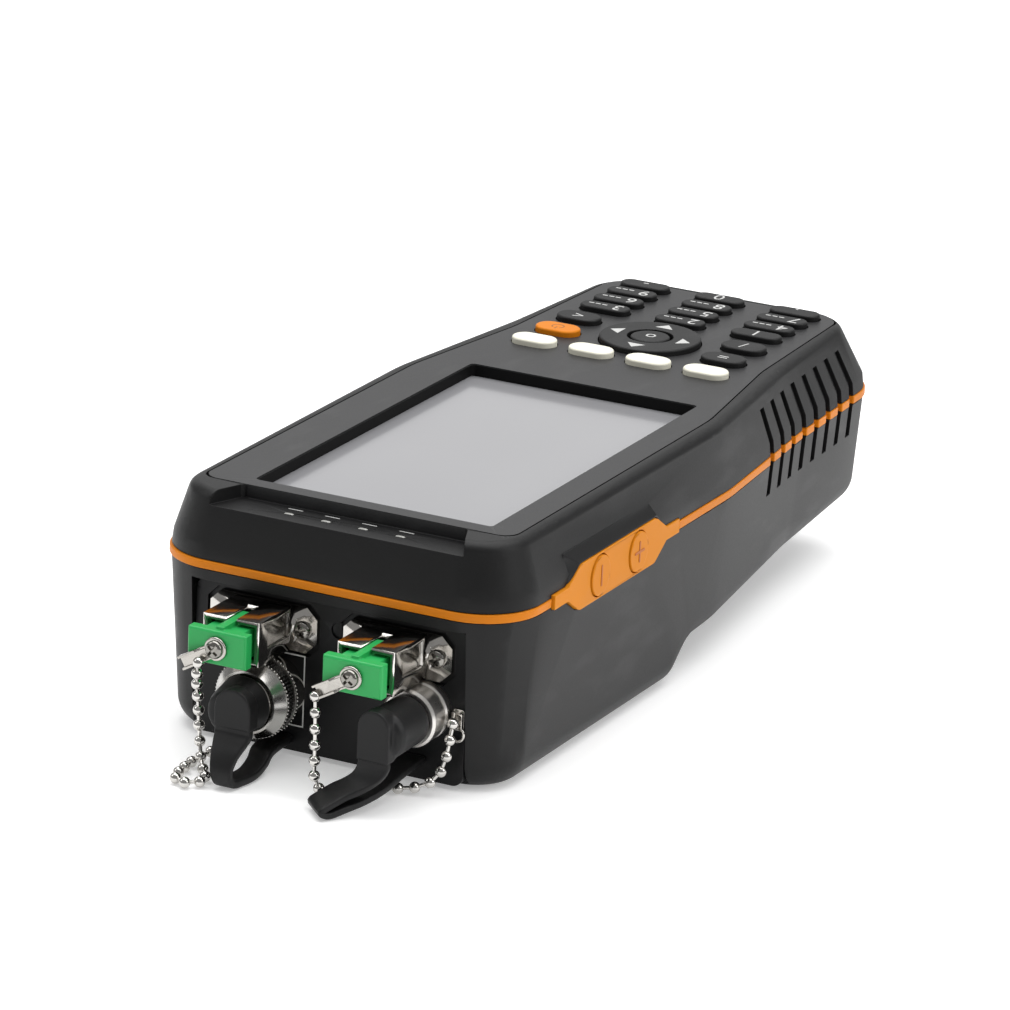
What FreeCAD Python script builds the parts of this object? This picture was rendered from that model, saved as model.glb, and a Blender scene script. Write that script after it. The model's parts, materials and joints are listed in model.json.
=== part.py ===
"""Handheld optical power meter lying on its back, as an assembly of separate solids.

Millimetres, +Z up through the display, +Y from the connector end to the keypad end.
The sizes are given from the connector end, and every piece is then moved so that
the origin lies in the middle of the flat underside that the meter rests on.
"""
import FreeCAD, Part
import math
import os

V = FreeCAD.Vector

# Casing, in plan at the seam band: half widths, stations along the length, corner radii
LENGTH = 195.0
HEAD_HALF = 41.25
HEAD_HALF_AFT = 42.0
GRIP_HALF = 38.0
GRIP_HALF_END = 36.4
WAIST_START = 102.0
WAIST_END = 147.0
NEAR_RADIUS = 13.5
FAR_RADIUS = 14.0
WAIST_RADIUS = 55.0

# Casing, in height
TOP_Z = 52.4
BAND_Z = 37.8
BAND_HEIGHT = 2.1
BAND_PROUD = 0.35
FACET_HEIGHT = 2.8
FACET_INSET = 0.35
BASE_INSET = 2.4
BASE_ROUND = 6.0
TOP_ROUND = 2.6
WALL = 2.4

# How far the flat top stands in from the seam band
TOP_INSET_HEAD = 3.6
TOP_INSET_GRIP = 5.2
TOP_INSET_END = 6.9
TOP_INSET_NEAR = 3.4
TOP_INSET_FAR = 3.0
TOP_CORNER_CUT = 3.0

# Underside: flat rest, heel, ramp and the raised grip
HEEL_Y = 84.0
RAMP_LENGTH = 7.0
RAMP_RISE = 6.7
GRIP_RISE_END = 12.6
RAMP_RADIUS = 7.0

# Grip grooves
GROOVE_COUNT = 8
GROOVE_FIRST_Y = 128.5
GROOVE_PITCH = 6.9
GROOVE_WIDTH = 2.4
GROOVE_DEPTH = 1.1
GROOVE_BELOW_BAND = 8.3
GROOVE_ABOVE_BAND = 10.9

# Face plate and its seam
PLATE_THICK = 2.7
PLATE_HALF_HEAD = 35.3
PLATE_HALF_GRIP = 30.0
PLATE_HALF_END = 28.2
PLATE_NEAR_Y = 11.2
PLATE_END_GAP = 5.6
PLATE_WAIST_START = 104.0
PLATE_WAIST_END = 142.0
PLATE_RADIUS = 3.5
PLATE_WAIST_RADIUS = 40.0
PLATE_END_RADIUS = 6.0
SEAM_GAP = 0.3
DECK_THICK = 1.6
DECK_LEDGE = 1.3

# Display
SCREEN_WIDTH = 54.2
SCREEN_LENGTH = 96.7
SCREEN_NEAR_Y = 15.0
SCREEN_X = 1.9
SCREEN_RADIUS = 1.0
LENS_MARGIN = 2.0
LENS_THICK = 1.6
MODULE_WIDTH = 57.0
MODULE_LENGTH = 103.0
MODULE_THICK = 2.9

# Lamp ledge at the connector end of the top
LEDGE_HALF_FRONT = 28.4
LEDGE_HALF_BACK = 25.6
LEDGE_DROP = 2.8
LEDGE_RADIUS = 1.0
LAMP_COUNT = 4
LAMP_PITCH = 8.45
LAMP_Y = 6.8
LAMP_LENGTH = 2.2
LAMP_WIDTH = 1.0
LAMP_DEPTH = 1.6

# Keys
KEY_CLEAR = 0.25
KEY_PROUD = 1.3
KEY_FLANGE = 0.5
KEY_FLANGE_THICK = 0.8
KEY_FLANGE_GAP = 0.3
KEY_STEM = 1.0
KEY_STEM_HALF = 1.6
KEY_GAP = 0.7
KEY_EDGE = 0.5
DOME_RADIUS = 2.2
DOME_HEIGHT = 0.5
SOFT_KEY_COUNT = 4
SOFT_KEY_PITCH = 13.85
SOFT_KEY_LENGTH = 10.4
SOFT_KEY_WIDTH = 6.2
SOFT_KEY_Y = 133.2
SIDE_COLUMN_X = 20.2
POWER_KEY_Y = 143.6
ESCAPE_KEY_Y = 154.2
COLUMN_KEY_LENGTH = 10.4
COLUMN_KEY_WIDTH = 6.4
NAV_Y = 148.6
NAV_RADIUS = 11.3
OK_RADIUS = 4.4
NUMBER_COLUMN_PITCH = 18.6
NUMBER_ROW_PITCH = 6.95
NUMBER_FIRST_Y = 164.2
NUMBER_KEY_LENGTH = 12.0
NUMBER_KEY_WIDTH = 4.8
NUMBER_COLUMNS = 3
NUMBER_ROWS = 4

# Side key pad on the +X side
PAD_NEAR_Y = 24.4
PAD_FAR_Y = 70.4
PAD_HALF_HEIGHT = 4.95
PAD_SLANT = 5.4
PAD_PROUD = 0.5
PAD_CLEAR = 0.15
PAD_NECK_LENGTH = 6.2
PAD_NECK_HALF = 1.5
SIDE_KEY_WIDTH = 8.2
SIDE_KEY_HEIGHT = 8.6
SIDE_KEY_PROUD = 0.35
SIDE_KEY_FLANGE = 0.5
SIDE_KEY_GAP = 0.7
MINUS_KEY_Y = 38.8
PLUS_KEY_Y = 56.6
SIDE_SWITCH_DEPTH = 1.8
SIDE_SWITCH_WIDTH = 5.0

# Raised hood of the upper shell above the side pad
HOOD_LAND = 0.4
HOOD_STEP = 0.25
HOOD_RISE = 2.6
HOOD_DEPTH = 2.0
HOOD_NEAR_SLANT = 0.8

# Connector panel
PANEL_FRONT_Y = 2.4
PANEL_THICK = 2.6
PANEL_HALF = 31.0
PANEL_LOW_Z = 1.0
PANEL_BELOW_BAND = 2.5
PANEL_CLEAR = 0.2
PANEL_RADIUS = 2.5
POCKET_DEPTH = 1.0
POCKET_MARGIN = 0.7
DIMPLE_X = 1.9
DIMPLE_Z = 28.7
DIMPLE_RADIUS = 1.7
DIMPLE_DEPTH = 0.6

# Adapters for the square fibre connector
ADAPTER_X = 15.3
ADAPTER_Z = 27.4
ADAPTER_WIDTH = 12.8
ADAPTER_HEIGHT = 9.4
ADAPTER_WALL = 1.0
ADAPTER_REACH = 13.4
ADAPTER_BACK = 11.0
FLANGE_WIDTH = 24.6
FLANGE_HEIGHT = 9.8
FLANGE_THICK = 1.2
FLANGE_CHAMFER = 2.4
SCREW_SPACING = 18.2
ADAPTER_SCREW_RADIUS = 1.0
ADAPTER_SCREW_HEAD = 1.9
ADAPTER_SCREW_HEAD_HEIGHT = 1.3
ADAPTER_SCREW_LENGTH = 4.0
KEYWAY_WIDTH = 2.4
KEYWAY_LENGTH = 9.0
SIDE_RECESS_DEPTH = 0.5
SIDE_RECESS_HEIGHT = 5.2
SIDE_RECESS_RISE = 0.9
SIDE_RECESS_FRONT = 3.6
SIDE_RECESS_LENGTH = 8.6
DIVIDER_THICK = 2.0
SLEEVE_RADIUS = 1.6
SLEEVE_BORE = 1.26
SLEEVE_LENGTH = 12.0
SLEEVE_CLEAR = 0.05

# Dust plugs with their tabs
PLUG_CLEAR = 0.3
PLUG_HEAD_LENGTH = 5.6
PLUG_HEAD_HEIGHT = 7.2
PLUG_HEAD_WIDTH = 13.4
PLUG_PLATE = 2.4
PLUG_NECK_WIDTH = 8.6
PLUG_NECK_HEIGHT = 6.2
PLUG_NECK_INSIDE = 2.2
PLUG_INSERT = 6.4
PLUG_RIB_HEIGHT = 1.0
PLUG_RIB_DROP = 0.5
PLUG_ROUND = 0.6
TAB_THICK = 0.7
TAB_RADIUS = 2.5
TAB_WIDTH = 3.0
TAB_LENGTH = 8.4
TAB_LIP_LENGTH = 5.0
TAB_LIP_HEIGHT = 1.0
TAB_LIP_THICK = 0.5
TAB_TILT = 30.0
TAB_SCREW_HEAD = 1.9
TAB_SCREW_HEIGHT = 1.1
TAB_SCREW_RADIUS = 0.9
TAB_SCREW_LENGTH = 4.0

# Power meter port
OPM_X = -12.8
OPM_Z = 13.8
OPM_NOSE_RADIUS = 5.4
OPM_TIP_RADIUS = 4.4
OPM_NOSE_REACH = 11.3
OPM_COLLAR_RADIUS = 7.4
OPM_COLLAR_GAP = 0.3
OPM_TIP_REACH = 15.6
RING_RADIUS = 8.6
RING_CONE_RADIUS = 6.6
RING_BACK_GAP = 4.2
RING_KNURL_LENGTH = 4.7
RING_CONE_LENGTH = 2.3
RING_CLEAR = 0.05
OPM_CAP_RADIUS = 6.0
OPM_CAP_TIP_RADIUS = 4.6
OPM_CAP_LENGTH = 7.5
TONGUE_WIDTH = 8.2
TONGUE_THICK = 1.9
TONGUE_SHIFT = 2.3
TONGUE_DROP = 2.2

# Fault locator port
VFL_X = 21.9
VFL_Z = 16.2
VFL_RADIUS = 6.1
VFL_REACH = 7.4
VFL_TIP_RADIUS = 3.6
VFL_TIP_REACH = 15.0
VFL_CAP_RADIUS = 5.2
VFL_CAP_LENGTH = 11.7
VFL_TONGUE_WIDTH = 7.0
VFL_TONGUE_SHIFT = -0.5
VFL_TONGUE_DROP = 5.0
VFL_TONGUE_CROWN = 2.3
CAP_CLEAR = 0.15
CAP_GAP = 0.3
OPM_NUT_RADIUS = 7.0
VFL_NUT_RADIUS = 5.6
PORT_NUT_THICK = 2.0

# Cap straps, by cross-section: sideways and along from the tongue's middle, height,
# turn of the width about Z, width
STRAP_GAP = 0.2
OPM_STRAP_THICK = 1.8
OPM_STRAP_END_Z = 3.6
OPM_STRAP_END_WIDTH = 5.4
OPM_STRAP_ROUTE = [
    (0.0, -0.1, 10.4, 0.0, 8.2), (0.0, -1.6, 8.8, 0.0, 7.2), (0.0, -3.5, 6.9, 0.0, 5.8),
    (0.1, -4.8, 4.6, 0.0, 5.0), (0.2, -4.9, 2.7, 0.0, 4.8), (0.2, -3.8, 1.35, 0.0, 4.8),
    (0.2, -1.6, 1.1, 0.0, 4.8), (0.1, 3.0, 1.25, 0.0, 4.8), (0.0, 7.2, 2.3, 0.0, 4.8),
    (0.0, 11.0, 3.5, 0.0, 5.0),
]
VFL_STRAP_THICK = 1.4
VFL_STRAP_END_X = -2.5
VFL_STRAP_END_Z = 5.4
VFL_STRAP_END_WIDTH = 7.2
VFL_STRAP_ROUTE = [
    (0.0, -0.1, 10.1, 0.0, 7.0), (-1.2, -0.4, 7.9, -12.0, 7.2), (-3.8, -0.9, 5.7, -28.0, 7.4),
    (-6.3, -2.0, 4.2, -38.0, 7.6), (-8.0, -4.4, 3.0, -42.0, 7.8), (-9.2, -6.5, 1.9, -45.0, 8.0),
    (-8.2, -5.0, 0.9, -44.0, 7.8), (-6.2, -2.2, 1.7, -38.0, 7.6), (-4.2, 1.5, 2.6, -28.0, 7.4),
    (-2.9, 6.0, 3.6, -16.0, 7.2), (-2.5, 12.0, 4.8, -6.0, 7.2),
]

# Ball chains and their anchors
CHAIN_DIAMETER = 2.4
ANCHOR_WIDTH = 2.4
ANCHOR_HEIGHT = 4.6
ANCHOR_THICK = 1.2
RIGHT_ANCHOR = (29.7, 15.4)
LEFT_ANCHOR = (-23.2, 10.4)
CHAIN_LEFT = [
    (-19.8, -18.8, 21.9), (-19.8, -19.0, 16.8), (-19.7, -19.0, 11.6), (-18.6, -19.1, 7.2),
    (-16.8, -19.6, 3.9), (-15.4, -21.2, 1.9), (-15.4, -23.7, 1.35), (-17.1, -25.4, 1.3),
    (-19.5, -25.4, 1.3), (-21.2, -23.7, 1.3), (-21.3, -19.4, 1.3), (-21.6, -13.4, 1.3),
    (-22.3, -8.0, 1.5), (-22.9, -4.2, 3.2), (-23.4, -1.6, 6.6), (-23.2, -0.4, 10.4),
]
CHAIN_RIGHT = [
    (8.2, -18.3, 21.0), (8.4, -18.6, 14.6), (8.5, -18.6, 8.2), (8.2, -18.0, 3.4),
    (9.6, -15.6, 1.4), (13.0, -11.6, 1.3), (16.8, -7.9, 1.3), (21.2, -4.9, 1.3),
    (25.2, -3.2, 1.9), (28.4, -2.4, 4.8), (29.6, -1.8, 9.6), (29.7, -0.4, 15.4),
]
BEND_SHARE = 0.45

# Inside
BOARD_THICK = 1.6
BOARD_BELOW_BAND = 4.2
BOARD_CLEAR = 0.4
KEYPAD_BOARD_NEAR_Y = 124.0
KEYPAD_BOARD_MARGIN = 2.4
BATTERY_WIDTH = 54.0
BATTERY_LENGTH = 52.0
BATTERY_HEIGHT = 20.0
BATTERY_NEAR_Y = 30.0
BATTERY_ROUND = 2.0
SEAT_GAP = 0.3
SPLITTER_WIDTH = 40.0
SPLITTER_LENGTH = 11.0
SPLITTER_HEIGHT = 15.0
SPLITTER_NEAR_Y = 17.0
DETECTOR_RADIUS = 5.0
DETECTOR_LENGTH = 7.0
LASER_RADIUS = 4.0
LASER_LENGTH = 7.0
SOCKET_WIDTH = 8.4
SOCKET_HEIGHT = 3.2
SOCKET_LENGTH = 7.0
SOCKET_WALL = 0.4
SOCKET_CLEAR = 0.3
SCREW_INSET_NEAR = 7.85
SCREW_NEAR_Y = 12.4
SCREW_INSET_MIDDLE = 7.5
SCREW_PAST_WAIST = 18.2
SCREW_FAR_X = 9.3
SCREW_FAR_GAP = 7.8
BOSS_RADIUS = 2.9
LOWER_BOSS_RADIUS = 4.2
SCREW_RADIUS = 1.4
SCREW_CLEAR = 0.2
SCREW_HEAD_RADIUS = 2.6
SCREW_HEAD_HEIGHT = 2.0
SCREW_SUNK = 4.4
SCREW_GRIP = 6.0

# Cutters reach this far past the faces that they open; edges are told apart within a tolerance
OVERCUT = 1.0
EDGE_TOLERANCE = 1e-4

# Values that follow from the sizes above
BAND_LOW = BAND_Z - BAND_HEIGHT / 2
BAND_TOP = BAND_Z + BAND_HEIGHT / 2
FACET_TOP = BAND_TOP + FACET_HEIGHT
PLATE_LOW = TOP_Z - PLATE_THICK
DECK_LOW = PLATE_LOW - DECK_THICK
LEDGE_Z = TOP_Z - LEDGE_DROP
PLATE_FAR_Y = LENGTH - PLATE_END_GAP
PANEL_TOP_Z = BAND_LOW - PANEL_BELOW_BAND
PANEL_BACK_Y = PANEL_FRONT_Y + PANEL_THICK
POCKET_Y = PANEL_FRONT_Y + POCKET_DEPTH
FLANGE_Y = POCKET_Y - FLANGE_THICK
RIM_Y = FLANGE_Y - ADAPTER_REACH
BOARD_TOP = BAND_LOW - BOARD_BELOW_BAND
BOARD_LOW = BOARD_TOP - BOARD_THICK
KEY_FLANGE_TOP = PLATE_LOW - KEY_FLANGE_GAP
KEY_FLANGE_LOW = KEY_FLANGE_TOP - KEY_FLANGE_THICK
KEY_LOW = KEY_FLANGE_LOW - KEY_STEM
DOME_TOP = KEY_LOW - KEY_GAP
KEYPAD_BOARD_TOP = DOME_TOP - DOME_HEIGHT
KEYPAD_BOARD_LOW = KEYPAD_BOARD_TOP - BOARD_THICK
REST_Y = (WALL + BASE_ROUND + HEEL_Y) / 2
FAR = 2 * LENGTH
SCREW_PLACES = [
    (HEAD_HALF - SCREW_INSET_NEAR, SCREW_NEAR_Y),
    (GRIP_HALF - SCREW_INSET_MIDDLE, WAIST_START + SCREW_PAST_WAIST),
    (SCREW_FAR_X, LENGTH - SCREW_FAR_GAP),
]
SCREW_PLACES = [(side * x, y) for x, y in SCREW_PLACES for side in (-1, 1)]


def rounded_wire(corners, place):
    """Closed wire through (u, v, radius) corners, each rounded by a tangent arc, laid out by place(u, v)."""
    edges = []
    starts = []
    ends = []
    middles = []
    count = len(corners)
    for i, (u, v, radius) in enumerate(corners):
        before = V(corners[i - 1][0] - u, corners[i - 1][1] - v, 0).normalize()
        after = V(corners[(i + 1) % count][0] - u, corners[(i + 1) % count][1] - v, 0).normalize()
        half = before.getAngle(after) / 2
        corner = V(u, v, 0)
        if radius <= 0:
            starts.append(corner)
            ends.append(corner)
            middles.append(None)
            continue
        reach = radius / math.tan(half)
        bisector = (before + after).normalize()
        starts.append(corner + before * reach)
        ends.append(corner + after * reach)
        middles.append(corner + bisector * (radius / math.sin(half) - radius))
    for i in range(count):
        if middles[i] is not None:
            arc = [place(p.x, p.y) for p in (starts[i], middles[i], ends[i])]
            edges.append(Part.Arc(*arc).toShape())
        following = starts[(i + 1) % count]
        edges.append(Part.LineSegment(place(ends[i].x, ends[i].y), place(following.x, following.y)).toShape())
    return Part.Wire(edges)


def inset_corners(corners, inset):
    """Move every side of a counter-clockwise outline inwards, keeping its rounds concentric."""
    count = len(corners)
    lines = []
    for i in range(count):
        u0, v0 = corners[i][:2]
        u1, v1 = corners[(i + 1) % count][:2]
        run = math.hypot(u1 - u0, v1 - v0)
        du = (u1 - u0) / run
        dv = (v1 - v0) / run
        lines.append((u0 - dv * inset, v0 + du * inset, du, dv))
    moved = []
    for i in range(count):
        a = lines[i - 1]
        b = lines[i]
        cross = a[2] * b[3] - a[3] * b[2]
        along = ((b[0] - a[0]) * b[3] - (b[1] - a[1]) * b[2]) / cross
        radius = corners[i][2]
        if radius > 0:
            radius = max(radius - math.copysign(inset, cross), WALL / 10)
        moved.append((a[0] + a[2] * along, a[1] + a[3] * along, radius))
    return moved


def mirrored(side):
    """Full counter-clockwise outline from the +X side's (half width, y, radius) corners, near end first."""
    return [(-x, y, r) for x, y, r in side[:1]] + side + [(-x, y, r) for x, y, r in reversed(side[1:])]


def level(z):
    """Layout for a wire that lies flat at height z."""
    return lambda u, v: V(u, v, z)


def prism(corners, low, high):
    """Upright solid between two heights over a rounded outline."""
    face = Part.Face(rounded_wire(corners, level(low)))
    return face.extrude(V(0, 0, high - low))


def band_outline():
    """Outline of the casing at the seam band."""
    return [
        (HEAD_HALF, 0.0, NEAR_RADIUS),
        (HEAD_HALF_AFT, WAIST_START, WAIST_RADIUS),
        (GRIP_HALF, WAIST_END, WAIST_RADIUS),
        (GRIP_HALF_END, LENGTH, FAR_RADIUS),
    ]


def top_outline():
    """Outline of the casing at the top, before its edge is rounded."""
    return [
        (HEAD_HALF - TOP_INSET_HEAD, TOP_INSET_NEAR, NEAR_RADIUS - TOP_CORNER_CUT),
        (HEAD_HALF_AFT - TOP_INSET_HEAD, WAIST_START, WAIST_RADIUS),
        (GRIP_HALF - TOP_INSET_GRIP, WAIST_END, WAIST_RADIUS),
        (GRIP_HALF_END - TOP_INSET_END, LENGTH - TOP_INSET_FAR, FAR_RADIUS - TOP_CORNER_CUT),
    ]


def plate_outline():
    """Outline of the face plate."""
    return [
        (PLATE_HALF_HEAD, PLATE_NEAR_Y, PLATE_RADIUS),
        (PLATE_HALF_HEAD, PLATE_WAIST_START, PLATE_WAIST_RADIUS),
        (PLATE_HALF_GRIP, PLATE_WAIST_END, PLATE_WAIST_RADIUS),
        (PLATE_HALF_END, PLATE_FAR_Y, PLATE_END_RADIUS),
    ]


def casing_outline(z, inset):
    """Outline of the casing at a height, moved inwards by an inset."""
    band = mirrored(band_outline())
    if z <= BAND_LOW:
        return inset_corners(band, inset + BASE_INSET * (BAND_LOW - z) / BAND_LOW)
    if z <= FACET_TOP:
        return inset_corners(band, inset + FACET_INSET * max(z - BAND_TOP, 0.0) / FACET_HEIGHT)
    low = inset_corners(band, FACET_INSET)
    top = mirrored(top_outline())
    share = (z - FACET_TOP) / (TOP_Z - FACET_TOP)
    between = [tuple(a + (b - a) * share for a, b in zip(p, q)) for p, q in zip(low, top)]
    return inset_corners(between, inset)


def casing_loft(heights, inset):
    """Solid through the casing's outlines at several heights."""
    wires = [rounded_wire(casing_outline(z, inset), level(z)) for z in heights]
    return Part.makeLoft(wires, True, True)


def underside_cut(lift):
    """Everything below the underside's heel, ramp and grip, raised by a lift."""
    ramp_y = HEEL_Y + RAMP_LENGTH
    grip_slope = (GRIP_RISE_END - RAMP_RISE) / (LENGTH - ramp_y)
    corners = [
        (HEEL_Y - FAR, lift, 0),
        (HEEL_Y - FAR, -LENGTH, 0),
        (FAR, -LENGTH, 0),
        (FAR, RAMP_RISE + grip_slope * (FAR - ramp_y) + lift, 0),
        (ramp_y, RAMP_RISE + lift, RAMP_RADIUS),
        (HEEL_Y, lift, RAMP_RADIUS),
    ]
    wire = rounded_wire(corners, lambda u, v: V(-LENGTH, u, v))
    return Part.Face(wire).extrude(V(2 * LENGTH, 0, 0))


def groove_cuts(heights):
    """Slabs of the grip grooves on both sides, down to the groove floor of a casing loft."""
    low = BAND_Z - GROOVE_BELOW_BAND
    high = BAND_Z + GROOVE_ABOVE_BAND
    slabs = []
    for i in range(GROOVE_COUNT):
        y = GROOVE_FIRST_Y + i * GROOVE_PITCH - GROOVE_WIDTH / 2
        slabs.append(Part.makeBox(2 * LENGTH, GROOVE_WIDTH, high - low, V(-LENGTH, y, low)))
    return Part.makeCompound(slabs).cut(casing_loft(heights, GROOVE_DEPTH))


def pad_outline(grow):
    """Side key pad in (y, z): a long lozenge with a neck at each end."""
    z = BAND_Z
    tip = PAD_NECK_HALF + grow
    high = PAD_HALF_HEIGHT + grow
    neck = PAD_NECK_LENGTH + grow
    lower = [
        (PAD_NEAR_Y - neck, z - tip, 0),
        (PAD_NEAR_Y - grow, z - tip, 0),
        (PAD_NEAR_Y + PAD_SLANT, z - high, PAD_SLANT / 2),
        (PAD_FAR_Y - PAD_SLANT, z - high, PAD_SLANT / 2),
        (PAD_FAR_Y + grow, z - tip, 0),
        (PAD_FAR_Y + neck, z - tip, 0),
    ]
    upper = [(y, 2 * z - v, r) for y, v, r in reversed(lower)]
    return lower + upper


def pad_prism(grow, low, high):
    """Side key pad's outline carried along X between two places."""
    wire = rounded_wire(pad_outline(grow), lambda u, v: V(low, u, v))
    return Part.Face(wire).extrude(V(high - low, 0, 0))


def side_face_x(y):
    """Where the casing's side stands at the seam band, at a station along the head."""
    return HEAD_HALF + (HEAD_HALF_AFT - HEAD_HALF) * y / WAIST_START


PAD_FACE_X = side_face_x((PAD_NEAR_Y + PAD_FAR_Y) / 2) + PAD_PROUD
PAD_BACK_X = PAD_FACE_X - PAD_PROUD - WALL


def hood_wire(x, high, near_y, far_y):
    """Outline of the hood over the side pad at a place along X, above the seam band."""
    corners = [
        (PAD_NEAR_Y - HOOD_LAND, BAND_TOP, 0),
        (PAD_FAR_Y + HOOD_LAND, BAND_TOP, 0),
        (far_y, high, 0),
        (near_y, high, 0),
    ]
    return rounded_wire(corners, lambda u, v: V(x, u, v))


def make_hood():
    """Hood that slopes from the upper shell's wall out to the top edge of the side pad."""
    pad_top = BAND_Z + PAD_HALF_HEIGHT + HOOD_LAND
    wall_near = PAD_NEAR_Y + HOOD_NEAR_SLANT
    wall_far = PAD_FAR_Y - PAD_SLANT - HOOD_LAND
    face_near = PAD_NEAR_Y + PAD_SLANT - HOOD_LAND
    face_far = PAD_FAR_Y - PAD_SLANT + HOOD_LAND
    wires = [
        hood_wire(PAD_BACK_X, pad_top + HOOD_RISE, wall_near, wall_far),
        hood_wire(PAD_FACE_X - HOOD_DEPTH, pad_top + HOOD_RISE, wall_near, wall_far),
        hood_wire(PAD_FACE_X - HOOD_STEP, pad_top, face_near, face_far),
    ]
    return Part.makeLoft(wires, True, True)


def rounded_slot(length, width, low, high, centre):
    """Upright solid with round ends, its length along X."""
    half = (length - width) / 2
    box = Part.makeBox(2 * half, width, high - low, V(centre[0] - half, centre[1] - width / 2, low))
    ends = []
    for s in (-1, 1):
        ends.append(Part.makeCylinder(width / 2, high - low, V(centre[0] + s * half, centre[1], low)))
    return box.fuse(ends).removeSplitter()


def rounded_block(length, width, radius, low, high, centre):
    """Upright block with rounded corners in plan."""
    x, y = centre
    corners = [
        (x - length / 2, y - width / 2, radius),
        (x + length / 2, y - width / 2, radius),
        (x + length / 2, y + width / 2, radius),
        (x - length / 2, y + width / 2, radius),
    ]
    return prism(corners, low, high)


def rod(radius, near_y, far_y, x, z):
    """Cylinder along Y."""
    return Part.makeCylinder(radius, far_y - near_y, V(x, near_y, z), V(0, 1, 0))


def cone(near_radius, far_radius, near_y, far_y, x, z):
    """Cone along Y."""
    return Part.makeCone(near_radius, far_radius, far_y - near_y, V(x, near_y, z), V(0, 1, 0))


def block(x, z, width, height, near_y, far_y):
    """Box centred on (x, z) between two places along Y."""
    return Part.makeBox(width, far_y - near_y, height, V(x - width / 2, near_y, z - height / 2))


def top_edges(shape, z):
    """Edges that lie wholly at a height."""
    edges = [e for e in shape.Edges if abs(e.BoundBox.ZMin - z) < EDGE_TOLERANCE]
    return [e for e in edges if abs(e.BoundBox.ZMax - z) < EDGE_TOLERANCE]


def soft_key_places():
    """Centres of the soft keys."""
    start = -SOFT_KEY_PITCH * (SOFT_KEY_COUNT - 1) / 2
    return [(start + i * SOFT_KEY_PITCH, SOFT_KEY_Y) for i in range(SOFT_KEY_COUNT)]


def column_key_places():
    """Names and centres of the four keys beside the navigation ring."""
    return {
        "power_key": (-SIDE_COLUMN_X, POWER_KEY_Y),
        "escape_key": (-SIDE_COLUMN_X, ESCAPE_KEY_Y),
        "function_key_near": (SIDE_COLUMN_X, POWER_KEY_Y),
        "function_key_far": (SIDE_COLUMN_X, ESCAPE_KEY_Y),
    }


def number_key_places():
    """Names and centres of the number keys, the row nearest the display first."""
    places = {}
    for row in range(NUMBER_ROWS):
        for column in range(NUMBER_COLUMNS):
            x = (column - (NUMBER_COLUMNS - 1) / 2) * NUMBER_COLUMN_PITCH
            y = NUMBER_FIRST_Y + row * NUMBER_ROW_PITCH
            places["number_key_%02d" % (row * NUMBER_COLUMNS + column + 1)] = (x, y)
    return places


def slot_key(length, width, centre):
    """Key with round ends: cap through the plate, flange under it and a stem over its dome."""
    cap = rounded_slot(length, width, KEY_FLANGE_LOW, TOP_Z + KEY_PROUD, centre)
    cap = cap.makeFillet(KEY_EDGE, top_edges(cap, TOP_Z + KEY_PROUD))
    flange = rounded_slot(length + 2 * KEY_FLANGE, width + 2 * KEY_FLANGE, KEY_FLANGE_LOW, KEY_FLANGE_TOP,
                          centre)
    stem = Part.makeCylinder(KEY_STEM_HALF, KEY_FLANGE_LOW - KEY_LOW, V(centre[0], centre[1], KEY_LOW))
    return cap.fuse([flange, stem]).removeSplitter()


def round_key(radius, bore, centre):
    """Round key; with a bore it is the ring around the centre key, on four stems."""
    x, y = centre
    cap = Part.makeCylinder(radius, TOP_Z + KEY_PROUD - KEY_FLANGE_LOW, V(x, y, KEY_FLANGE_LOW))
    cap = cap.makeFillet(KEY_EDGE, top_edges(cap, TOP_Z + KEY_PROUD))
    flange = Part.makeCylinder(radius + KEY_FLANGE, KEY_FLANGE_THICK, V(x, y, KEY_FLANGE_LOW))
    places = [(0.0, 0.0)]
    if bore > 0:
        middle = (radius + bore) / 2
        places = [(middle, 0.0), (-middle, 0.0), (0.0, middle), (0.0, -middle)]
    stems = []
    for dx, dy in places:
        stems.append(Part.makeCylinder(KEY_STEM_HALF, KEY_FLANGE_LOW - KEY_LOW, V(x + dx, y + dy, KEY_LOW)))
    key = cap.fuse([flange] + stems).removeSplitter()
    if bore > 0:
        key = key.cut(Part.makeCylinder(bore, TOP_Z, V(x, y, KEY_LOW)))
    return key


def dome_places():
    """Where a dome switch lies under each key stem."""
    middle = (NAV_RADIUS + OK_RADIUS + KEY_FLANGE + KEY_CLEAR) / 2
    places = soft_key_places() + list(column_key_places().values()) + list(number_key_places().values())
    places.append((0.0, NAV_Y))
    places += [(middle, NAV_Y), (-middle, NAV_Y), (0.0, NAV_Y + middle), (0.0, NAV_Y - middle)]
    return places


def make_keys():
    """Every key on the face, by name."""
    keys = {}
    for i, centre in enumerate(soft_key_places()):
        keys["soft_key_%d" % (i + 1)] = slot_key(SOFT_KEY_LENGTH, SOFT_KEY_WIDTH, centre)
    for name, centre in column_key_places().items():
        keys[name] = slot_key(COLUMN_KEY_LENGTH, COLUMN_KEY_WIDTH, centre)
    for name, centre in number_key_places().items():
        keys[name] = slot_key(NUMBER_KEY_LENGTH, NUMBER_KEY_WIDTH, centre)
    keys["nav_ring"] = round_key(NAV_RADIUS, OK_RADIUS + KEY_FLANGE + KEY_CLEAR, (0.0, NAV_Y))
    keys["ok_key"] = round_key(OK_RADIUS, 0.0, (0.0, NAV_Y))
    return keys


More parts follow.
